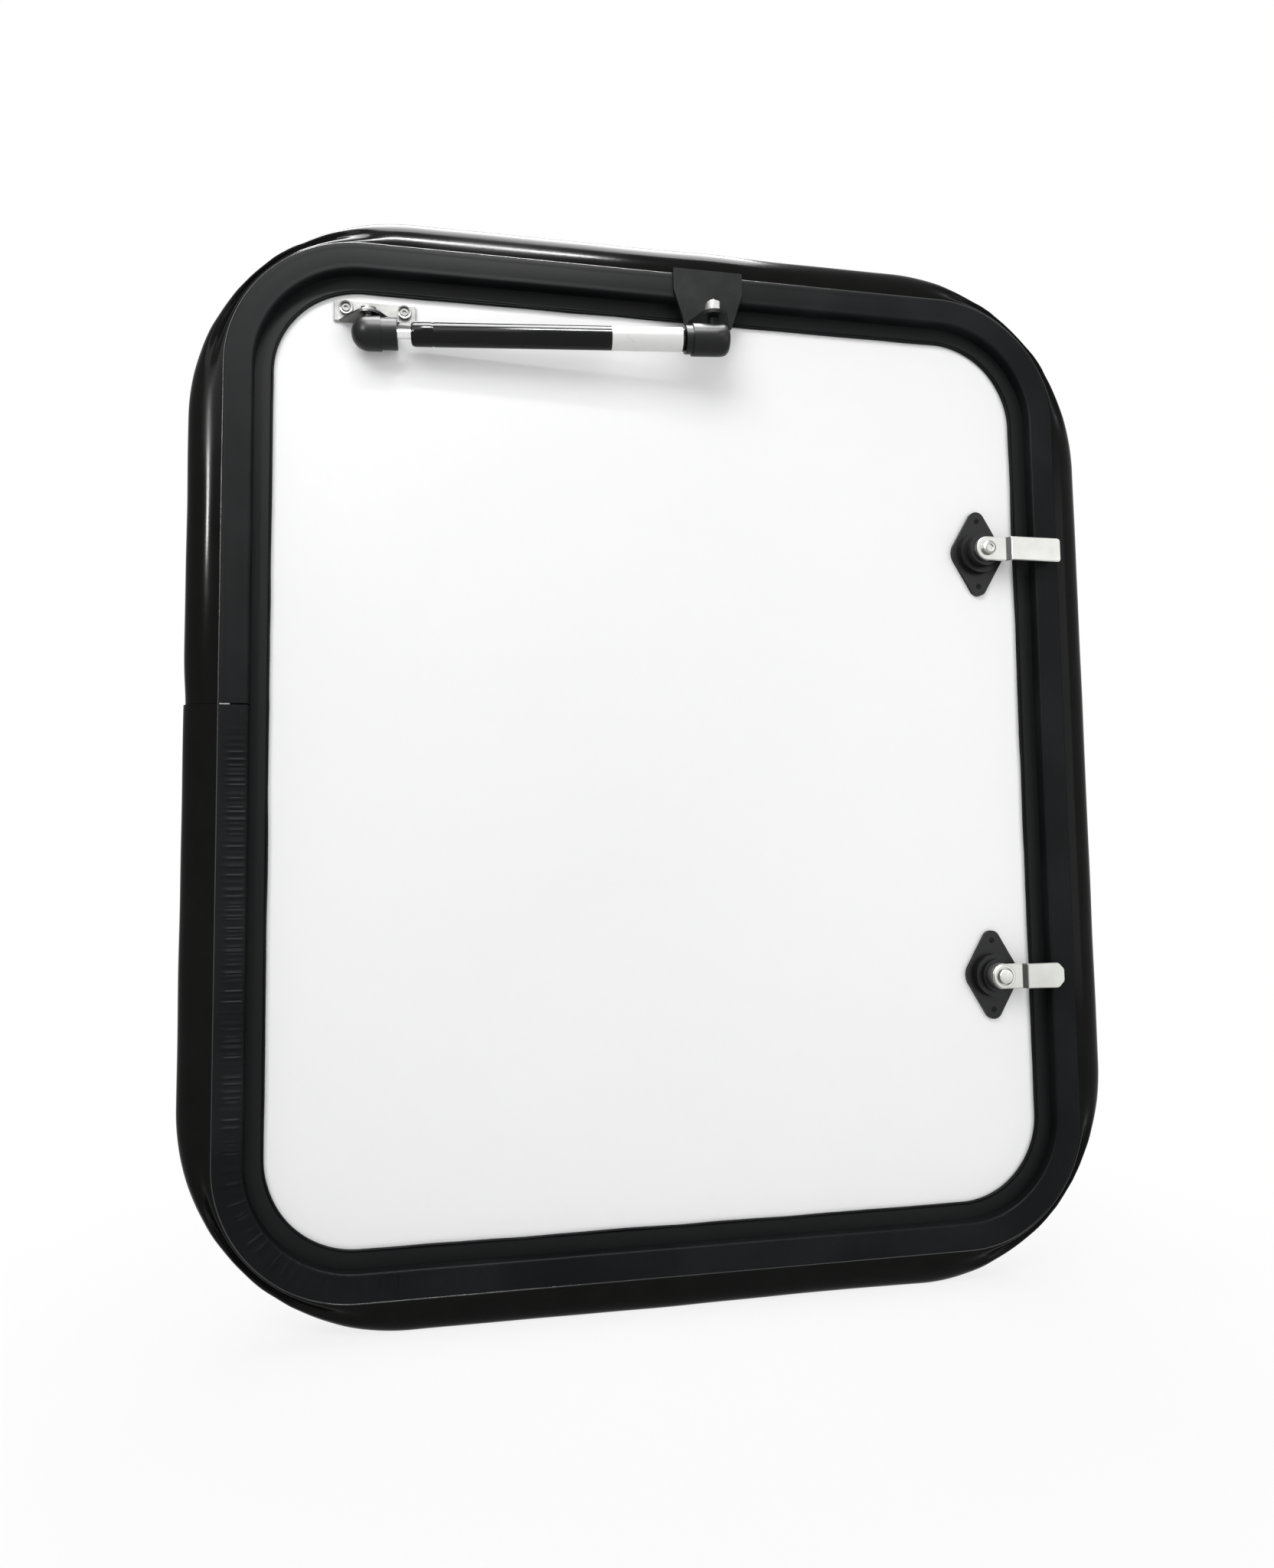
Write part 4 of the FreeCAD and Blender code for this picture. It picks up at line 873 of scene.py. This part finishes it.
def ball_centre(node):
    """The middle of the ball at the lower end of a stud."""
    low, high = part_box(node)
    return Vector(((low.x + high.x) / 2, (low.y + high.y) / 2, low.z + BALL))


door_ball = ball_centre("door_ball_stud")
frame_ball = ball_centre("frame_ball_stud")
strut_span = (frame_ball - door_ball).length
ROD_SOCKET = 0.0179
ROD_SHOW = 0.0085
TUBE_END = 0.0193
TUBE_RADIUS = 0.0075
ROD_RADIUS = 0.0030
ROD_FOOT = 0.0090
ROD_INSIDE = 0.1180
LABEL_LENGTH = 0.0480
LABEL_THICK = 0.0001
LABEL_SUNK = 0.0002
END_RADIUS = 0.0103
END_SQUARENESS = 4
BOX_INSET = 0.00002
tube_start = ROD_SOCKET + ROD_SHOW
tube_stop = strut_span - TUBE_END

moulded_plastic, net = new_finish("moulded_black_plastic")
mould = net.grain(420.0, 3.0)
handled = net.grain(30.0, 4.0)
shade(net, {
    "Base Color": handled.tint((0.0035, 0.0037, 0.004, 1), (0.008, 0.0083, 0.0088, 1)),
    "Roughness": 0.30 + 0.16 * handled,
    "Specular IOR Level": 0.20,
    "Normal": mould.relief(0.00006, 0.4),
})
chrome, net = new_finish("hard_chrome")
polish = net.grain(900.0, 2.0)
shade(net, {
    "Base Color": polish.tint((0.72, 0.72, 0.73, 1), (0.80, 0.80, 0.81, 1)),
    "Metallic": 1.0,
    "Roughness": 0.08 + 0.06 * polish,
})
tube_paint, net = new_finish("satin_black_tube_paint")
flow = net.grain(40.0, 3.0)
shade(net, {
    "Base Color": flow.tint((0.0035, 0.0035, 0.0038, 1), (0.0065, 0.0065, 0.0068, 1)),
    "Roughness": 0.12 + 0.10 * flow,
    "Specular IOR Level": 0.13,
    "Normal": net.grain(900.0).relief(0.00002, 0.3),
})
label_film, net = new_finish("bare_label_film")
rub = net.grain(180.0, 5.0)
shade(net, {
    "Base Color": rub.between(0.55, 0.80).tint((0.64, 0.64, 0.63, 1), (0.53, 0.53, 0.52, 1)),
    "Roughness": 0.38 + 0.15 * rub,
    "Normal": rub.relief(0.00003, 0.4),
})
rod_end = tube_start + ROD_INSIDE
turned("piston_rod_chrome", chrome, "strut_rod", door_ball, frame_ball,
       [(ROD_FOOT, ROD_RADIUS), (rod_end, ROD_RADIUS), (rod_end + 0.0015, 0.0024)], 40, ["piston_rod"])
turned("strut_tube_paint", tube_paint, "strut_cylinder", door_ball, frame_ball, [
    (tube_start + 0.0016, 0.0032), (tube_start + 0.0004, 0.0044), (tube_start, 0.0056),
    (tube_start + 0.0006, 0.0068), (tube_start + 0.0022, 0.00745), (tube_start + 0.0128, TUBE_RADIUS),
    (tube_start + 0.0134, 0.00725), (tube_start + 0.0142, 0.00725), (tube_start + 0.0148, TUBE_RADIUS),
    (tube_stop - 0.0022, TUBE_RADIUS), (tube_stop - 0.0006, 0.0071), (tube_stop, 0.0062),
    (tube_stop - 0.0004, 0.0042),
], 64, ["strut_tube"])
label_start = tube_stop - 0.0010 - LABEL_LENGTH
label_stop = tube_stop - 0.0024
turned("strut_label", label_film, "strut_cylinder", door_ball, frame_ball, [
    (label_start, TUBE_RADIUS - LABEL_SUNK), (label_start, TUBE_RADIUS + LABEL_THICK),
    (label_stop, TUBE_RADIUS + LABEL_THICK), (label_stop, TUBE_RADIUS - LABEL_SUNK),
], 64)
softened("rod_end_socket", moulded_plastic, 0.0006, 3)


def square_end(shape):
    """Fills out the round head past the ball, so that the socket ends nearly flat."""
    along = (frame_ball - door_ball).normalized()
    for vert in shape.verts:
        arm = vert.co - frame_ball
        past = arm.dot(along)
        spread = arm - along * past
        if past > 0 and spread.length > 0.0001 and abs(arm.length - END_RADIUS) < 0.0003:
            share = min(1, past / END_RADIUS)
            wide = END_RADIUS * (1 - share ** END_SQUARENESS) ** (1 / END_SQUARENESS)
            vert.co = frame_ball + along * past + spread.normalized() * wide
            vert.co.y = max(vert.co.y, cad_box[0].y + BOX_INSET)


softened("tube_end_socket", moulded_plastic, 0.0006, 3, square_end)
softened("door_ball_stud", bright_zinc, 0.0004)
softened("frame_ball_stud", painted_steel, 0.0004)


# Cam latches: a moulded diamond plate and collar inside, a lock cylinder through the leaf, and a cranked cam.
# The cams are plated castings, the upper held on its spindle by a screw, the lower by a pin and washer, with
# a band of painted shade where they are cranked.
plated_casting_and_bend_shade, net = new_finish("satin_plated_casting_and_painted_bend_shade")
cast = net.grain(160.0, 6.0)
tumble = net.grain(1000.0, 3.0)
stain = net.grain(38.0, 4.0)
# Painted shade: a dark band across this finish at the crank's step face. It is placed by x, so it falls on
# every piece of this finish there.
CAM_BEND = 0.0135
CAM_BEND_RUN = 0.0026
latch_low, latch_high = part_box("upper_latch_body")
bend_start = (latch_low.x + latch_high.x) / 2 + CAM_BEND
place = net.node("ShaderNodeTexCoord", None, None, "Object")
across = net.node("ShaderNodeSeparateXYZ", None, {0: place}, "X")
bend_shade_streaks = net.grain(1.0, 3.0, (2600.0, 300.0, 90.0))
bend_stop = bend_start + CAM_BEND_RUN
painted_bend_shade = across.between(bend_start - 0.0002, bend_start + 0.0003)
painted_bend_shade = painted_bend_shade * (1 - across.between(bend_stop - 0.0003, bend_stop + 0.0002))
bright = stain.tint((0.29, 0.29, 0.277, 1), (0.41, 0.41, 0.392, 1))
bend_shade_colour = bend_shade_streaks.tint((0.018, 0.018, 0.017, 1), (0.085, 0.085, 0.08, 1))
shade(net, {
    "Base Color": painted_bend_shade.tint(bright, bend_shade_colour),
    "Metallic": 1.0,
    "Roughness": 0.24 + 0.12 * cast + 0.05 * tumble + 0.12 * painted_bend_shade,
    "Normal": (0.5 * cast + 0.5 * tumble).relief(0.00006, 0.5),
})
PLATE_SCREW_RISE = 0.0235
PLATE_DEPTH = 0.0030
CAM_THICKNESS = 0.0025
PLATE_TIP = 0.0060
PLATE_SIDE = 0.0070
PLATE_SIDE_SEEN = 0.0120
KEYWAY_SHADE = (0.0017, 0.0004, 0.0078)
KEYWAY_SHADE_ROUND = 0.00012
for name in ("upper", "lower"):
    low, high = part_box(name + "_latch_body")
    centre = (low + high) / 2

    def round_sides(shape, middle=centre, reach=(high.x - low.x) / 2, rise=(high.z - low.z) / 2):
        """Opens the plate's two side tips to a wider curve between the same straight sides."""
        run = Vector((reach - PLATE_SIDE, rise - PLATE_TIP))
        lean = math.atan2(run.x, run.y) + math.asin((PLATE_SIDE - PLATE_TIP) / run.length)
        corner = reach - PLATE_SIDE + PLATE_SIDE / math.cos(lean)
        start = reach - PLATE_SIDE + PLATE_SIDE * math.cos(lean) - 0.00005
        for vert in shape.verts:
            if abs(vert.co.x - middle.x) > start:
                side = math.copysign(1, vert.co.x - middle.x)
                tip = Vector((middle.x + side * corner, vert.co.y, middle.z))
                vert.co = tip + (vert.co - tip) * PLATE_SIDE_SEEN / PLATE_SIDE

    softened(name + "_latch_body", moulded_plastic, 0.0008, 3, round_sides)
    softened(name + "_lock_bezel", moulded_plastic, 0.0008, 3)
    softened(name + "_lock_spindle", plated_casting_and_bend_shade, 0.0004)
    softened(name + "_cam", plated_casting_and_bend_shade, 0.0005, 3)
    spots = []
    for rise in (-PLATE_SCREW_RISE, PLATE_SCREW_RISE):
        spots.append(Vector((centre.x, panel_face - PLATE_DEPTH, centre.z + rise)))
    planted(name + "_latch_screws", powder_coat, socket_head(0.0019, 0.0005, 0.0009), spots,
            (0, -1, 0), "door")
    spindle_body = frame["nodes"][name + "_cam"]["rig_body"]
    cam_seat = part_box(name + "_cam")[1].y - CAM_THICKNESS
    axis_foot = Vector((centre.x, cam_seat, centre.z))
    if name == "upper":
        planted("upper_cam_screw", plated_casting_and_bend_shade, socket_head(0.0050, 0.0034, 0.0021),
                [axis_foot], (0, -1, 0), spindle_body)
    else:
        inward = axis_foot - Vector((0, 1, 0))
        turned("lower_cam_pin", plated_casting_and_bend_shade, spindle_body, axis_foot, inward, [
            (0, 0.0078), (0.0008, 0.0079), (0.0011, 0.0076),
            (0.0011, 0.0060), (0.0003, 0.0057), (0.0003, 0.0050),
            (0.0029, 0.0049), (0.0033, 0.0045), (0.0034, 0.0030),
        ])
    plug_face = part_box(name + "_lock_spindle")[1].y
    # A thin black block set in the plug's face: painted shade in place of the lock's slot.
    painted_keyway_shade = block(Vector((centre.x, plug_face, centre.z)), KEYWAY_SHADE, KEYWAY_SHADE_ROUND, 1)
    painted_keyway_shade_piece = new_piece(name + "_keyway", painted_keyway_shade, powder_coat)
    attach(painted_keyway_shade_piece, spindle_body)


# Studio: a pale floor that fades to a white surround, with a soft key light above on the left.
# Two lamps above and one on the left show only in gloss, and draw the streaks on the bulb.
# A lamp behind lights the outside, for views from there.
FLOOR_SIZE = 6.0
FADE_START = 0.22
FADE_END = 0.55
FLOOR_WHITE = 0.82
SURROUND_MATT = 0.52


def seen_directly(net):
    """Over nought for rays that show the surround itself: from the camera, off gloss or through glass."""
    rays = []
    for kind in ("Is Camera Ray", "Is Glossy Ray", "Is Transmission Ray"):
        rays.append(net.node("ShaderNodeLightPath", None, None, kind))
    return rays[0] + rays[1] + rays[2]


floor_shape = bmesh.new()
bmesh.ops.create_grid(floor_shape, x_segments=1, y_segments=1, size=FLOOR_SIZE)
bmesh.ops.translate(floor_shape, vec=(0, 0, cad_box[0].z), verts=floor_shape.verts)
floor_paint, net = new_finish("pale_floor")
place = net.node("ShaderNodeTexCoord", None, None, "Object")
away = net.node("ShaderNodeVectorMath", {"operation": "LENGTH"}, {0: place}, "Value")
away = away.between(FADE_START, FADE_END)
matt = net.node("ShaderNodeBsdfDiffuse", None, {"Color": (0.9, 0.9, 0.9, 1)})
white = net.node("ShaderNodeEmission", None, {"Color": (1, 1, 1, 1), "Strength": 1.0})
share = seen_directly(net) * (FLOOR_WHITE + (1 - FLOOR_WHITE) * away)
mixed = net.node("ShaderNodeMixShader", None, {0: share, 1: matt, 2: white})
net.node("ShaderNodeOutputMaterial", None, {"Surface": mixed})
floor = new_piece("floor", floor_shape, floor_paint)

world = bpy.data.worlds.new("white_surround")
world.use_nodes = True
world.node_tree.nodes.clear()
net = Wire(world.node_tree)
level = SURROUND_MATT + (1 - SURROUND_MATT) * seen_directly(net).between(0.0, 1.0)
surround = net.node("ShaderNodeBackground", None, {"Color": (1, 1, 1, 1), "Strength": level})
net.node("ShaderNodeOutputWorld", None, {"Surface": surround})
bpy.context.scene.world = world


def soft_box(name, at, towards, width, height, power, matt=True, gloss=True):
    """A rectangular lamp that lights matt surfaces, shows in glossy ones, or both."""
    lamp = bpy.data.lights.new(name, "AREA")
    lamp.shape = "RECTANGLE"
    lamp.size = width
    lamp.size_y = height
    lamp.energy = power
    made = bpy.data.objects.new(name, lamp)
    made.location = at
    made.rotation_euler = (Vector(towards) - Vector(at)).to_track_quat("-Z", "Y").to_euler()
    made.visible_diffuse = matt
    made.visible_glossy = gloss
    bpy.context.scene.collection.objects.link(made)


hatch_middle = (0, 0, middle_height)
soft_box("key_light", (-0.95, -1.55, 1.75), hatch_middle, 1.3, 1.0, 19.3)
soft_box("fill_light", (1.3, -1.7, 0.5), hatch_middle, 1.2, 1.3, 11.4)
soft_box("back_light", (0.5, 1.9, 1.2), hatch_middle, 1.6, 1.2, 18, gloss=False)
soft_box("top_strip", (-0.09, -0.66, 1.33), (-0.12, 0, 0.67), 0.36, 0.045, 28, matt=False)
soft_box("top_panel", (-0.10, 0.05, 1.60), (-0.10, 0, 0.66), 0.90, 0.90, 72, matt=False)
soft_box("side_strip", (-0.92, -1.10, 0.90), (-0.29, 0, 0.50), 0.06, 0.20, 14, matt=False)

LENS = 32.358
SENSOR_WIDTH = 36.0
CAMERA_PLACE = (-0.177295, -0.755950, 0.259692)
camera_data = bpy.data.cameras.new("camera")
camera_data.sensor_fit = "HORIZONTAL"
camera_data.sensor_width = SENSOR_WIDTH
camera_data.lens = LENS
camera_data.clip_end = 50
camera = bpy.data.objects.new("camera", camera_data)
view_right = Vector((0.97831949, -0.20669643, -0.01294424))
view_up = Vector((-0.00364638, -0.07968364, 0.99681353))
view_back = Vector((-0.20706924, -0.97515491, -0.07870975))
camera_turn = Matrix((view_right, view_up, view_back)).transposed().to_4x4()
camera.matrix_world = Matrix.Translation(CAMERA_PLACE) @ camera_turn
bpy.context.scene.collection.objects.link(camera)
bpy.context.scene.camera = camera
bpy.context.scene.view_settings.view_transform = "Standard"
